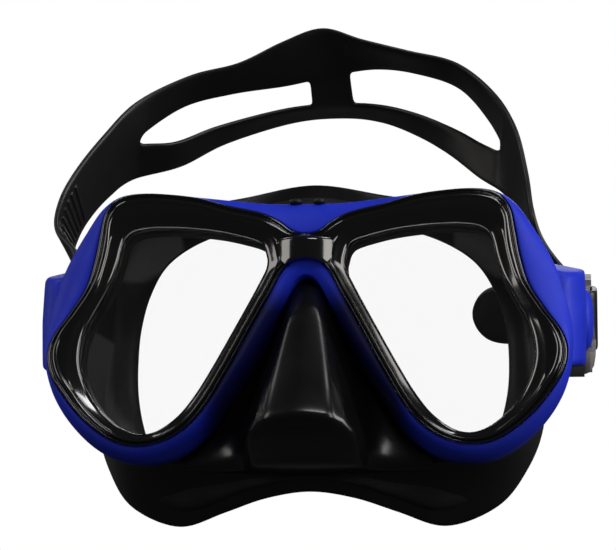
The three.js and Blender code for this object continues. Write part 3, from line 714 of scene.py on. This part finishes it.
def frame_band():
    """The visible blue band with its side walls and back, as one closed ring."""
    across = [0.06, 0.18, 0.32, 0.46, 0.6, 0.73, 0.84, 0.93, 0.98]
    samples = list(RIM_SAMPLES)
    samples += [s * np.array([-1, 1, -1, 1, -1, 1, 1]) for s in reversed(RIM_SAMPLES[1:-1])]
    vertices = []
    for sample in samples:
        outer, inner, roll = sample[0:2], sample[2:4], sample[6]
        span = outer - inner
        width = float(np.linalg.norm(span))
        outward = span / width
        lip = inner + outward * 0.25
        cover = float(np.linalg.norm(inner - sample[4:6]))
        ledge = lip - outward * min(LEDGE, cover - LENS_LAP - 0.1)
        section = [
            (ledge, FRAME_BACK), (ledge, 3.4), (lip, 3.2), (lip, 0.9), (lip + outward * 0.12, 0.5),
        ]
        for f in across:
            section.append((lip + (outer - lip) * f, BAND_FRONT + roll * f ** 2.1))
        edge = BAND_FRONT + roll
        section += [
            (outer + outward * 0.05, edge + 0.35), (outer + outward * 0.25, edge + 1.4),
            (outer + outward * 0.2, max(edge + 2.6, 9.0)), (outer - outward * 0.1, 12.6),
            (outer - outward * 0.6, 13.7), (outer - outward * 1.5, FRAME_BACK),
        ]
        vertices += [row_point((p[0], depth, p[1])) for p, depth in section]
    columns = len(section)
    faces = grid_faces(len(samples), columns, close_rows=True, close_columns=True)
    band = lofted("frame_band", vertices, faces, BLUE)
    subdivide(band, 1)
    return band


def rounded_polygon(corners, radius, steps=5):
    """A closed outline with every corner rounded by a quadratic arc."""
    points = []
    count = len(corners)
    for i, corner in enumerate(corners):
        corner = np.array(corner, float)
        before = np.array(corners[i - 1], float) - corner
        after = np.array(corners[(i + 1) % count], float) - corner
        cut = min(radius, np.linalg.norm(before) * 0.48, np.linalg.norm(after) * 0.48)
        start = corner + before / np.linalg.norm(before) * cut
        end = corner + after / np.linalg.norm(after) * cut
        for k in range(steps + 1):
            t = k / steps
            points.append((1 - t) ** 2 * start + 2 * t * (1 - t) * corner + t * t * end)
    return points


# Arm sections: depth, inner x at the foot and at the top, outer x, foot z, top z, corner radius.
ARM_SECTIONS = [
    (5.0, 75.4, 72.5, 79.4, -12.0, 19.6, 2.4), (8.0, 75.4, 72.5, 82.0, -11.2, 20.8, 2.6),
    (11.5, 75.3, 73.0, 84.0, -10.2, 22.0, 2.6), (15.0, 75.2, 74.0, 85.1, -9.5, 23.0, 2.2),
    (18.5, 75.2, 75.0, 85.6, -9.0, 24.0, 1.8), (22.0, 75.2, 75.2, 85.9, -8.6, 24.8, 1.4),
    (24.4, 75.3, 75.3, 85.9, -8.3, 25.4, 1.2), (25.0, 75.8, 75.8, 85.4, -7.8, 25.0, 1.0),
]
ARM_BULGE = 0.5                      # how far the outer face swells at mid height
ARM_FALL = 2.2                       # how much lower the top is at its outer edge


def frame_arm(side):
    vertices = []
    for depth, foot_x, top_x, outer_x, foot_z, top_z, radius in ARM_SECTIONS:
        middle = (foot_z + top_z) / 2
        corners = [
            (foot_x, foot_z), (outer_x - ARM_BULGE, foot_z + 0.8), (outer_x, middle),
            (outer_x - ARM_BULGE, top_z - ARM_FALL), (top_x, top_z),
        ]
        outline = rounded_polygon(corners, radius)
        vertices += [row_point((side * x, depth, z)) for x, z in outline]
    faces = grid_faces(len(ARM_SECTIONS), len(outline), close_columns=True, capped=True)
    arm = lofted("frame_arm", vertices, faces, BLUE)
    subdivide(arm, 2)
    return arm


def frame_tongue(side):
    """The flat swivel tongue: a plate with a round end and the pin's hole."""
    steps = 48
    hole, end = 3.1, 9.0             # radius of the pin's hole and of the round end
    x0, x1, edge = 75.2, 77.5, 0.35  # inner and outer face, and the rounding of the edges
    front = -24.0                    # the square end, inside the arm, from the pivot
    section = [(hole + edge, x0), (hole, x0 + edge), (hole, x1 - edge), (hole + edge, x1)]
    outer_section = [(edge, x1), (0.0, x1 - edge), (0.0, x0 + edge), (edge, x0)]
    vertices = []
    for angle in ring_angles(steps):
        c, s = math.cos(angle), math.sin(angle)
        if c >= 0:
            reach = end
        else:
            reach = min(end / max(abs(s), 1e-6), front / c)
        ring = [(r, x) for r, x in section] + [(reach - inset, x) for inset, x in outer_section]
        vertices += [(side * x, PIVOT.y + r * c, PIVOT.z + r * s) for r, x in ring]
    faces = grid_faces(steps, len(ring), close_rows=True, close_columns=True)
    return lofted("frame_tongue", vertices, faces, BLUE, 35)


def build_frame():
    parts = [frame_band()]
    for side in SIDES.values():
        parts += [frame_arm(side), frame_tongue(side)]
    shell = join("frame_shell_blue", parts)
    return finish_piece(shell, "mask", "frame_blue", "frame_shell")


def opening_ring(side, lap, depth):
    """The lens opening's outline moved outwards by a lap, at one depth."""
    opening = RIM_SAMPLES[:, 4:6]
    ring = []
    for i, point in enumerate(opening):
        along = opening[(i + 1) % len(opening)] - opening[i - 1]
        along /= np.linalg.norm(along)
        x, z = point + np.array([-along[1], along[0]]) * lap
        ring.append(row_point((side * x, depth, z)))
    return ring


def build_lenses():
    chamfer = 0.3
    back = LENS_FRONT + LENS_THICKNESS
    rings = [
        (LENS_LAP - chamfer, LENS_FRONT), (LENS_LAP, LENS_FRONT + chamfer),
        (LENS_LAP, back - chamfer), (LENS_LAP - chamfer, back),
    ]
    for hand, side in SIDES.items():
        vertices = [point for lap, depth in rings for point in opening_ring(side, lap, depth)]
        faces = grid_faces(len(rings), len(RIM_SAMPLES), close_columns=True, capped=True)
        lens = lofted(f"lens_{hand}_glass", vertices, faces, GLASS, 30)
        finish_piece(lens, "mask", "lens_glass", f"lens_{hand}")


# ------------------------------------------------------------------ skirt
def skirt_section(front, edge, lip):
    """Points round the skirt's wall and lip at one station, and whether each is on the inside."""
    front = np.array([front[0], SKIRT_FRONT, front[1]], float)
    edge, lip = np.array(edge, float), np.array(lip, float)
    centre = np.array([0, 0, 2.0])
    outward = (edge - centre) * np.array([1, 0, 1.35])
    inward = -outward / np.linalg.norm(outward)
    back = np.array([0, 1.0, 0])
    points = []
    for t in (0.0, 0.06, 0.18, 0.34, 0.5, 0.66, 0.8, 0.91, 0.97):
        flare = t ** 1.5
        point = front + (edge - front) * np.array([flare, t ** 0.92, flare])
        points.append((point, False))
    points.append((edge - inward * 0.25 + back * 0.5, False))
    points.append((edge + back * 1.1 + inward * 0.2, False))
    for t in (0.12, 0.3, 0.5, 0.7, 0.88, 0.97):
        bulge = 1.6 * math.sin(math.pi * t) * back
        points.append((edge + back * 0.9 + (lip - edge) * t + bulge, False))
    points.append((lip + back * 0.3, False))
    points.append((lip - back * 0.7 - inward * 0.3, True))
    inner_corner = edge + inward * 3.2 - back * 2.6
    under_lip = lip - back * 1.5
    for t in (0.2, 0.5, 0.8):
        hollow = back * 0.6 * math.sin(math.pi * t)
        points.append((under_lip + (inner_corner - lip + back * 1.5) * t - hollow, True))
    inner_front = front + inward * 2.4 + back * 2.2
    for t in (0.06, 0.2, 0.4, 0.6, 0.8, 0.94):
        flare = 1 - (1 - t) ** 1.3
        points.append((inner_corner + (inner_front - inner_corner) * np.array([flare, t, flare]), True))
    points.append((inner_front - back * 0.6, True))
    return points


def skirt_wall():
    stations = mirrored([[(f[0], SKIRT_FRONT, f[1]), e, l] for f, e, l in SKIRT_STATIONS])
    per_station = 6
    total = len(stations) * per_station
    vertices, inside = [], None
    for i in range(total):
        front, edge, lip = through(stations, i / per_station, closed=True)
        section = skirt_section((front[0], front[2]), edge, lip)
        inside = [flag for _, flag in section]
        vertices += [row_point(p) for p, _ in section]
    columns = len(inside)
    faces = grid_faces(total, columns, close_rows=True, close_columns=True)
    wall = new_object("skirt_wall", vertices, faces, SKIRT_OUTER)
    wall.data.materials.append(SKIRT_INNER)
    for polygon in wall.data.polygons:
        polygon.material_index = int(all(inside[v % columns] for v in polygon.vertices))
    smooth(wall)
    subdivide(wall, 1)
    return wall


def flat_plate(name, loops, front_depth, back_depth, edge, material):
    """A plate cut from x, z outlines, the first the edge and the rest holes, with round edges."""
    curve = bpy.data.curves.new(name, "CURVE")
    curve.dimensions = "2D"
    curve.fill_mode = "BOTH"
    half = (back_depth - front_depth) / 2
    curve.extrude = (half - edge) * MM
    curve.bevel_depth = edge * MM
    curve.offset = -edge * MM
    curve.bevel_resolution = 2
    for loop in loops:
        spline = curve.splines.new("POLY")
        spline.points.add(len(loop) - 1)
        for point, (x, z) in zip(spline.points, loop):
            point.co = (x * MM, z * MM, 0, 1)
        spline.use_cyclic_u = True
    flat = add_object(name, curve)
    depsgraph = bpy.context.evaluated_depsgraph_get()
    mesh = bpy.data.meshes.new_from_object(flat.evaluated_get(depsgraph))
    middle = (RIM_Y + front_depth + half) * MM
    mesh.transform(Matrix.Translation((0, middle, 0)) @ Matrix.Rotation(math.pi / 2, 4, "X"))
    bpy.data.objects.remove(flat)
    mesh.materials.clear()
    mesh.materials.append(material)
    plate = add_object(name, mesh)
    tidy_mesh(plate)
    smooth(plate, 40)
    return plate


def skirt_web():
    """The flat wall behind the frame, with both windows and the way into the nose pocket."""
    stations = mirrored([[(f[0], 0, f[1])] for f, _, _ in SKIRT_STATIONS])
    steps = 5
    count = len(stations) * steps
    outline = [through(stations, i / steps, closed=True)[0][[0, 2]] for i in range(count)]
    opening = [tuple(s[4:6]) for s in RIM_SAMPLES]
    mirror = [(-x, z) for x, z in opening]
    nose_half = [(row[3][0] - 1.0, row[3][2]) for row in NOSE_ROWS[2:14]]
    nose = nose_half + [(-x, z) for x, z in reversed(nose_half)]
    loops = [outline, opening, mirror, nose]
    return flat_plate("skirt_web", loops, SKIRT_FRONT, SKIRT_FRONT + 2.2, 0.5, SKIRT_INNER)


def lens_seat(side):
    """The bead that grips a lens inside the frame."""
    front, back = LENS_FRONT + LENS_THICKNESS + 0.3, SKIRT_FRONT + 1
    section = [
        (0.1, back), (0.1, front + 0.3), (0.4, front), (1.5, front), (1.8, front + 0.3), (1.8, back),
    ]
    rings = [opening_ring(side, lap, depth) for lap, depth in section]
    vertices = [point for station in zip(*rings) for point in station]
    faces = grid_faces(len(RIM_SAMPLES), len(section), close_rows=True, close_columns=True)
    return lofted("lens_seat", vertices, faces, SKIRT_INNER, 40)


def nose_pocket():
    rows = []
    for row in NOSE_ROWS:
        right = [row_point(p) for p in row]
        left = [(-x, y, z) for x, y, z in reversed(right[1:])]
        rows.append(left + right)
    width = len(rows[0])
    vertices = [p for row in rows for p in row]
    faces = grid_faces(len(rows), width)
    pocket = new_object("nose_pocket", vertices, faces, SKIRT_OUTER)
    with editing(pocket.data) as bm:
        crease = bm.edges.layers.float.new("crease_edge")
        for edge in bm.edges:
            (row_a, column_a), (row_b, column_b) = (divmod(v.index, width) for v in edge.verts)
            aside_a, aside_b = abs(column_a - width // 2), abs(column_b - width // 2)
            down = column_a == column_b
            if down and aside_a in NOSE_CREASES and 2 < max(row_a, row_b) < 14:
                edge[crease] = NOSE_CREASES[aside_a]
            elif not down and row_a == row_b and row_a in NOSE_FOLDS and max(aside_a, aside_b) <= 2:
                edge[crease] = NOSE_FOLD_CREASE
    subdivide(pocket, 3)
    smooth(pocket)
    thick = pocket.modifiers.new("wall", "SOLIDIFY")
    thick.thickness = 1.7 * MM
    thick.offset = -1
    return pocket


def brow_lug(middle, half_width):
    """A small rounded lug of the skirt, hooked over the top edge of the blue frame."""
    sections = [(1.4, 0.2), (1.7, 0.75), (2.6, 1.0), (9, 1.0), (15.5, 1.0)]     # depth and size
    steps = 24
    vertices = []
    for depth, size in sections:
        for angle in ring_angles(steps):
            x, z = half_width * size * math.cos(angle), LUG_RISE * size * math.sin(angle)
            vertices.append(row_point((middle + x, depth, LUG_HEIGHT + z)))
    faces = grid_faces(len(sections), steps, close_columns=True, capped=True)
    return lofted("brow_lug", vertices, faces, SKIRT_INNER, 50)


def build_skirt():
    parts = [skirt_wall(), skirt_web(), nose_pocket()]
    parts += [brow_lug(middle, half_width) for middle, half_width in LUGS]
    parts += [lens_seat(side) for side in SIDES.values()]
    skirt = join("skirt_moulding", parts)
    return finish_piece(skirt, "mask", "skirt_silicone", "skirt")


# ------------------------------------------------------------------ strap
def buckle_point(side, offset, reach, across):
    """Buckle coordinates to row coordinates: offset from the symmetry plane, reach along the
    strap from the swivel pin, and across the strap's width."""
    c, s = math.cos(STRAP_RISE), math.sin(STRAP_RISE)
    return (side * offset, PIVOT.y + reach * c - across * s, PIVOT.z + reach * s + across * c)


def strap_end_path(side):
    """Middle line from the buckle's rear bar round the roller and out along the loose tail."""
    path = [buckle_point(side, ROLLER_OFFSET + ROLLER_TURN, reach, 0) for reach in (27, 23)]
    for i in range(13):
        angle = math.pi * i / 12
        offset = ROLLER_OFFSET + ROLLER_TURN * math.cos(angle)
        path.append(buckle_point(side, offset, ROLLER_REACH - ROLLER_TURN * math.sin(angle), 0))
    path.append(buckle_point(side, ROLLER_OFFSET - ROLLER_TURN, 23, 0))
    path.append(buckle_point(side, ROLLER_OFFSET - ROLLER_TURN, 26.5, 0))
    path += [row_point(p) for p in TAIL_LINES[side]]
    return np.array(path, float)


def strap_rows():
    """Edge points of every station: top, split upper, split lower and bottom."""
    half = np.array(buckle_point(1, 0, 0, STRAP_WIDTH / 2)) - np.array(buckle_point(1, 0, 0, 0))
    rows = []
    for top, upper, lower, bottom in STRAP_STATIONS:
        top, bottom = np.array(row_point(top)), np.array(row_point(bottom))
        middle = (top + bottom) / 2
        upper = np.array(row_point(upper)) if upper else middle
        lower = np.array(row_point(lower)) if lower else middle
        rows.append([top, upper, lower, bottom])
    ends = {}
    for side in (-1, 1):
        middle = strap_end_path(side)[0]
        ends[side] = [middle + half, middle, middle, middle - half]
    return np.array([ends[-1], *rows, ends[1]]), half


def tail_width(distance_left):
    """Share of the full half width left at a distance from a tail's round end."""
    radius = STRAP_WIDTH / 2
    if distance_left >= radius:
        return 1.0
    return math.sqrt(max(1 - (1 - distance_left / radius) ** 2, 0.0))


def build_strap():
    rows, half = strap_rows()
    last = len(rows) - 1
    per_row = 9
    slit = 2.6                        # the split starts as soon as it is this wide
    stations = []
    for i in range(last * per_row + 1):
        s = i / per_row
        top, upper, lower, bottom = through(rows, s)
        gap = np.linalg.norm(upper - lower)
        in_span = SPLIT_SPAN[0] < s < last - SPLIT_SPAN[1]
        open_here = gap > slit and in_span
        in_tab = SPLIT_TAB[0] <= s <= SPLIT_TAB[1]
        if not open_here:
            joined = (upper, lower) if in_span else (top, bottom)
            upper = lower = (joined[0] + joined[1]) / 2
        stations.append((top, upper, lower, bottom, open_here, in_tab))

    def end_stations(side):
        path = strap_end_path(side)
        steps = 3 * (len(path) - 1)
        places = [i / 3 for i in range(steps - 2)]
        places += [len(path) - 1 - k for k in (0.8, 0.6, 0.42, 0.28, 0.16, 0.07, 0.02, 0)]
        fine = [through(path, place) for place in places]
        lengths = distances(fine)
        result = []
        for point, reached in zip(fine[1:], lengths[1:]):
            left = lengths[-1] - reached
            w = half * max(tail_width(left), 0.02)
            result.append((point + w, point, point, point - w, False, False))
        return result

    stations = end_stations(-1)[::-1] + stations + end_stations(1)
    vertices, index = [], {}
    split = 4                         # quads across each band

    def vertex(key, point):
        if key not in index:
            index[key] = len(vertices)
            vertices.append(tuple(point))
        return index[key]

    faces = []
    grid = []
    for i, (top, upper, lower, bottom, open_here, in_tab) in enumerate(stations):
        line_up = [vertex((i, "up", j), top + (upper - top) * j / split) for j in range(split + 1)]
        line_low = [vertex((i, "low", j), lower + (bottom - lower) * j / split)
                    if j or open_here else line_up[-1] for j in range(split + 1)]
        line_tab = [line_up[-1]]
        for k in (1, 2):
            across_gap = upper + (lower - upper) * k / 3
            line_tab.append(vertex((i, "tab", k), across_gap) if open_here and in_tab else None)
        line_tab.append(line_low[0])
        grid.append((line_up, line_low, line_tab))
    for a, b in zip(grid[:-1], grid[1:]):
        for part in (0, 1):
            for j in range(split):
                faces.append((a[part][j], a[part][j + 1], b[part][j + 1], b[part][j]))
        if None not in a[2] and None not in b[2]:
            for j in range(3):
                faces.append((a[2][j], a[2][j + 1], b[2][j + 1], b[2][j]))
    strap = new_object("strap_sheet", vertices, faces, STRAP_SKIN)
    with editing(strap.data) as bm:
        bmesh.ops.recalc_face_normals(bm, faces=bm.faces)
    thick = strap.modifiers.new("thickness", "SOLIDIFY")
    thick.thickness = STRAP_THICKNESS * MM
    thick.offset = 0
    thick.use_even_offset = True
    subdivide(strap, 2)
    smooth(strap)
    moulding = join("strap_moulding", [strap, strap_ribs(stations)])
    return finish_piece(moulding, "strap_assembly", "strap_silicone", "strap")


TEETH_FROM, TEETH_TO = 13.0, 107.0   # where the teeth begin and stop, from either tail's end
TOOTH_PITCH = 3.3
TOOTH_SUNK, TOOTH_HEIGHT = 0.15, 0.6


def strap_ribs(stations):
    """Ratchet teeth: low bars across both ends of the strap, on the face towards the head."""
    middle = [(s[0] + s[3]) / 2 for s in stations]
    lengths = distances(middle)
    vertices, faces = [], []
    box = [(0, 1, 2, 3), (7, 6, 5, 4), (0, 4, 5, 1), (1, 5, 6, 2), (2, 6, 7, 3), (3, 7, 4, 0)]
    at = TEETH_FROM
    while at < TEETH_TO:
        for where in (at, lengths[-1] - at):
            i = int(np.searchsorted(lengths, where)) - 1
            i = min(max(i, 1), len(stations) - 3)
            t = (where - lengths[i]) / max(lengths[i + 1] - lengths[i], 1e-6)
            top = stations[i][0] * (1 - t) + stations[i + 1][0] * t
            bottom = stations[i][3] * (1 - t) + stations[i + 1][3] * t
            centre, across = (top + bottom) / 2, (top - bottom) / 2
            along = middle[i + 1] - middle[i]
            along /= np.linalg.norm(along)
            normal = np.cross(along, across)
            normal /= np.linalg.norm(normal)
            base = len(vertices)
            foot = centre + normal * (STRAP_THICKNESS / 2 - TOOTH_SUNK)
            head = centre + normal * (STRAP_THICKNESS / 2 + TOOTH_HEIGHT)
            for level, half_width, long in ((foot, 0.72, 1.0), (head, 0.68, 0.45)):
                for u, v in ((-1, -1), (1, -1), (1, 1), (-1, 1)):
                    vertices.append(level + across * half_width * u + along * long * v)
            faces += [tuple(base + k for k in quad) for quad in box]
        at += TOOTH_PITCH
    teeth = lofted("strap_teeth", vertices, faces, STRAP_SKIN, 40, FINE_WELD)
    bevel(teeth, 0.16, 2)
    return teeth


# ------------------------------------------------------------------ buckles
def refined_copy(node, name, material, edge, segments=3):
    """A CAD shape with its flat faces merged and its edges rounded."""
    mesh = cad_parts[node].data.copy()
    mesh.name = name
    with editing(mesh) as bm:
        bmesh.ops.remove_doubles(bm, verts=bm.verts, dist=0.002 * MM)
        bmesh.ops.dissolve_limit(bm, angle_limit=math.radians(1.5), verts=bm.verts, edges=bm.edges)
    mesh.materials.clear()
    mesh.materials.append(material)
    for polygon in mesh.polygons:
        polygon.material_index = 0
    obj = add_object(name, mesh)
    bevel(obj, edge, segments)
    smooth(obj, 40)
    return obj


BUTTON_REACH, BUTTON_ACROSS = -4.0, 3.8
BUTTON_RADIUS, BUTTON_SQUEEZE = 9.9, 0.92       # half width, and its share along the strap
BUTTON_BASE, BUTTON_RIM, BUTTON_CROWN = 83.85, 84.9, 88.0


def push_button(side):
    """Smooth oval dome over the front of the buckle."""
    rings = [
        (0.0, BUTTON_BASE), (BUTTON_RADIUS * 0.95, BUTTON_BASE),
        (BUTTON_RADIUS * 0.985, BUTTON_BASE + 0.15), (BUTTON_RADIUS, BUTTON_BASE + 0.5),
        (BUTTON_RADIUS, BUTTON_RIM - 0.3),
    ]
    rise = BUTTON_CROWN - BUTTON_RIM
    for i in range(1, 13):
        angle = math.pi / 2 * i / 12
        radius = BUTTON_RADIUS * math.cos(angle) ** 0.72
        rings.append((radius, BUTTON_RIM + rise * math.sin(angle) ** 0.95))
    steps = 64
    vertices = []
    for radius, offset in rings:
        r = max(radius, 0.01)
        for angle in ring_angles(steps):
            reach = BUTTON_REACH + BUTTON_SQUEEZE * r * math.cos(angle)
            across = BUTTON_ACROSS + r * math.sin(angle)
            vertices.append(buckle_point(side, offset, reach, across))
    faces = grid_faces(len(rings), steps, close_columns=True)
    return lofted("button_cover", vertices, faces, BLUE, 60, 0.05 * MM)


def coil_spring(side):
    turns, wire, coil = 3, 0.35, 1.9
    steps, sides = 96, 10
    vertices = []
    for i in range(steps + 1):
        t = i / steps
        angle = 2 * math.pi * turns * t
        outward = np.array([math.cos(angle), math.sin(angle), 0])
        centre = np.array([PAWL_OFFSET, PAWL_REACH, -1.6 + 3.2 * t]) + outward * coil
        for a in ring_angles(sides):
            point = centre + outward * wire * math.cos(a) + np.array([0, 0, wire * math.sin(a)])
            vertices.append(buckle_point(side, *point))
    faces = grid_faces(steps + 1, sides, close_columns=True, capped=True)
    return lofted("spring_coil", vertices, faces, STEEL, 60, FINE_WELD)


def turned_rod(name, side, radius, hole, half_length, axis, material, grooves=0):
    """A rod or tube along the strap's width, its ends chamfered and its skin lightly grooved."""
    offset, reach = axis
    steps, edge = 40, 0.25
    outline = [(hole, -half_length), (radius - edge, -half_length), (radius, -half_length + edge)]
    for g in range(grooves):
        z = -half_length + (g + 1) * 2 * half_length / (grooves + 1)
        floor = radius - 0.3
        outline += [(radius, z - 0.5), (floor, z - 0.25), (floor, z + 0.25), (radius, z + 0.5)]
    outline += [(radius, half_length - edge), (radius - edge, half_length), (hole, half_length)]
    vertices = []
    for a in ring_angles(steps):
        for r, z in outline:
            r = max(r, 0.001)
            vertices.append(buckle_point(side, offset + r * math.cos(a), reach + r * math.sin(a), z))
    faces = grid_faces(steps, len(outline), close_rows=True, close_columns=True)
    return lofted(name, vertices, faces, material, 35)


def build_buckle(hand):
    side = SIDES[hand]
    strap_body, pawl_body = "strap_assembly", f"{hand}_pawl"

    def place(obj, name, body, slot, node):
        obj.name = f"{hand}_{name}"
        finish_piece(obj, body, slot, f"{hand}_{node}")

    def copied(name, body, slot, node, material, *rounding):
        obj = refined_copy(f"{hand}_{node}", f"{hand}_{name}", material, *rounding)
        place(obj, name, body, slot, node)

    def rod(name, body, slot, node, *shape):
        place(turned_rod(f"{hand}_{name}", side, *shape), name, body, slot, node)

    copied("buckle_housing", strap_body, "buckle_grey", "buckle_body", GREY, 0.3)
    place(push_button(side), "release_button", f"{hand}_button", "frame_blue", "buckle_button")
    copied("pawl_lever", pawl_body, "buckle_grey", "ratchet_pawl", GREY, 0.15, 2)
    place(coil_spring(side), "spring_coil", pawl_body, "pin_steel", "pawl_spring")

    half = BUCKLE_HALF_WIDTH
    roller_axis, pawl_axis = (ROLLER_OFFSET, ROLLER_REACH), (PAWL_OFFSET, PAWL_REACH)
    rod("roller_tube", f"{hand}_roller", "buckle_grey", "strap_roller",
        2.4, 1.2, half - 2.2, roller_axis, GREY, 6)
    rod("axle_rod", strap_body, "pin_steel", "roller_axle", 1.1, 0.0, half, roller_axis, STEEL)
    rod("pawl_rod", strap_body, "pin_steel", "pawl_pin", 1.0, 0.0, half, pawl_axis, STEEL)

    copied("swivel_stud", "mask", "pin_steel", "swivel_pin", STEEL, 0.15, 2)
    copied("snap_ring", "mask", "pin_steel", "swivel_snap_ring", STEEL, 0.1, 2)


# ------------------------------------------------------------------ stage, lights and camera
VIEW_AZIMUTH = math.radians(6.2)
VIEW_ELEVATION = math.radians(-12)
VIEW_ROLL = math.radians(0.5)
VIEW_DISTANCE = 800.0
VIEW_TARGET = Vector((1.2, RIM_Y - 3.6, 16.7))
LENS = 152.8                         # focal length


def build_camera():
    forward = Vector((
        -math.sin(VIEW_AZIMUTH) * math.cos(VIEW_ELEVATION),
        math.cos(VIEW_AZIMUTH) * math.cos(VIEW_ELEVATION),
        -math.sin(VIEW_ELEVATION),
    ))
    right = forward.cross(Vector((0, 0, 1))).normalized()
    up = right.cross(forward)
    c, s = math.cos(VIEW_ROLL), math.sin(VIEW_ROLL)
    right, up = c * right + s * up, c * up - s * right
    data = bpy.data.cameras.new("camera")
    data.lens = LENS
    data.clip_start = 0.01
    data.clip_end = 50
    camera = add_object("camera", data)
    turn = Matrix((right, up, -forward)).transposed().to_4x4()
    camera.matrix_world = Matrix.Translation((VIEW_TARGET - forward * VIEW_DISTANCE) * MM) @ turn
    bpy.context.scene.camera = camera


FLOOR_HEIGHT = -1.5
FLOOR_RADIUS = 6.0


def area_light(name, place, target, width, height, power, color=(1, 1, 1)):
    data = bpy.data.lights.new(name, "AREA")
    data.shape = "RECTANGLE"
    data.size, data.size_y = width, height
    data.energy = power
    data.color = color
    light = add_object(name, data)
    place, target = Vector(place), Vector(target)
    light.location = place
    light.rotation_euler = (place - target).to_track_quat("Z", "Y").to_euler()
    return light


def light_place(azimuth, elevation, distance):
    """A place round the mask, azimuth counted from straight ahead towards +X."""
    a, e = math.radians(azimuth), math.radians(elevation)
    return Vector((math.sin(a) * math.cos(e), -math.cos(a) * math.cos(e), math.sin(e))) * distance


def build_lights():
    centre = Vector((0, 0, 0.02))
    warm, white = (1, 0.96, 0.92), (1, 1, 1)
    # Name, azimuth, elevation, distance, width, height, power and colour.
    lights = (
        ("right_softbox", 48, 12, 1.1, 0.34, 0.9, 4.6, warm),
        ("left_softbox", -53, 12, 1.1, 0.34, 0.9, 3.3, warm),
        ("key_front", 14, 34, 1.3, 0.4, 0.2, 3.2, white),
        ("side_right", 82, 12, 1.1, 0.4, 0.8, 6.0, white),
        ("side_left", -104, 14, 1.1, 0.35, 0.8, 1.0, warm),
        ("nose_right", 73, 64, 1.1, 0.22, 0.3, 1.6, white),
        ("nose_left", -90, 56, 1.1, 0.22, 0.3, 1.2, white),
    )
    for name, azimuth, elevation, distance, *light in lights:
        area_light(name, centre + light_place(azimuth, elevation, distance), centre, *light)
    over_floor, on_floor = (0, 0, FLOOR_HEIGHT + 1.0), (0, 0, FLOOR_HEIGHT)
    across = FLOOR_RADIUS * 2
    floor_wash = area_light("floor_wash", over_floor, on_floor, across, across, 480.0)
    floor_wash.visible_camera = False
    area_light("back_softbox", centre + light_place(180, 35, 1.4), centre, 1.0, 0.6, 4.0)


FILL_STRENGTH = 0.042


def build_world():
    """White where the camera meets it, straight or through the glass, and a dim fill for the rest."""
    world = bpy.data.worlds.new("studio")
    world.use_nodes = True
    bpy.context.scene.world = world
    tree = world.node_tree
    tree.nodes.clear()
    output = tree.nodes.new("ShaderNodeOutputWorld")
    mix = tree.nodes.new("ShaderNodeMixShader")
    path = tree.nodes.new("ShaderNodeLightPath")
    seen = path.outputs["Is Camera Ray"]
    steps = (
        ("MAXIMUM", path.outputs["Is Transmission Ray"]), ("SUBTRACT", path.outputs["Diffuse Depth"]),
        ("SUBTRACT", path.outputs["Glossy Depth"]),
    )
    for operation, other in steps:
        node = tree.nodes.new("ShaderNodeMath")
        node.operation = operation
        node.use_clamp = True
        tree.links.new(seen, node.inputs[0])
        tree.links.new(other, node.inputs[1])
        seen = node.outputs[0]
    fill = tree.nodes.new("ShaderNodeBackground")
    fill.inputs["Color"].default_value = (0.92, 0.96, 1.0, 1)
    fill.inputs["Strength"].default_value = FILL_STRENGTH
    white = tree.nodes.new("ShaderNodeBackground")
    white.inputs["Color"].default_value = (1, 1, 1, 1)
    white.inputs["Strength"].default_value = 1.0
    tree.links.new(seen, mix.inputs["Fac"])
    tree.links.new(fill.outputs[0], mix.inputs[1])
    tree.links.new(white.outputs[0], mix.inputs[2])
    tree.links.new(mix.outputs[0], output.inputs["Surface"])


def build_floor():
    """Pale round floor well below the mask, which the wearer's face would hold up. The mask
    neither reflects it nor gets bounced light from it."""
    material, tree, principled = shader("floor_pale", (0.8, 0.8, 0.8), 0.8)
    vary_color(tree, principled, noise(tree, 3), (0.79, 0.79, 0.79), (0.82, 0.82, 0.82))
    bm = bmesh.new()
    bmesh.ops.create_circle(bm, cap_ends=True, segments=96, radius=FLOOR_RADIUS)
    mesh = bpy.data.meshes.new("floor")
    bm.to_mesh(mesh)
    bm.free()
    mesh.materials.append(material)
    floor = add_object("floor", mesh)
    floor.location = (0, 0, FLOOR_HEIGHT)
    floor.visible_diffuse = False
    floor.visible_glossy = False


build_retainer()
build_frame()
build_lenses()
build_skirt()
build_strap()
for buckle_hand in SIDES:
    build_buckle(buckle_hand)
build_floor()
build_world()
build_lights()
build_camera()
bpy.context.scene.view_settings.view_transform = "Standard"
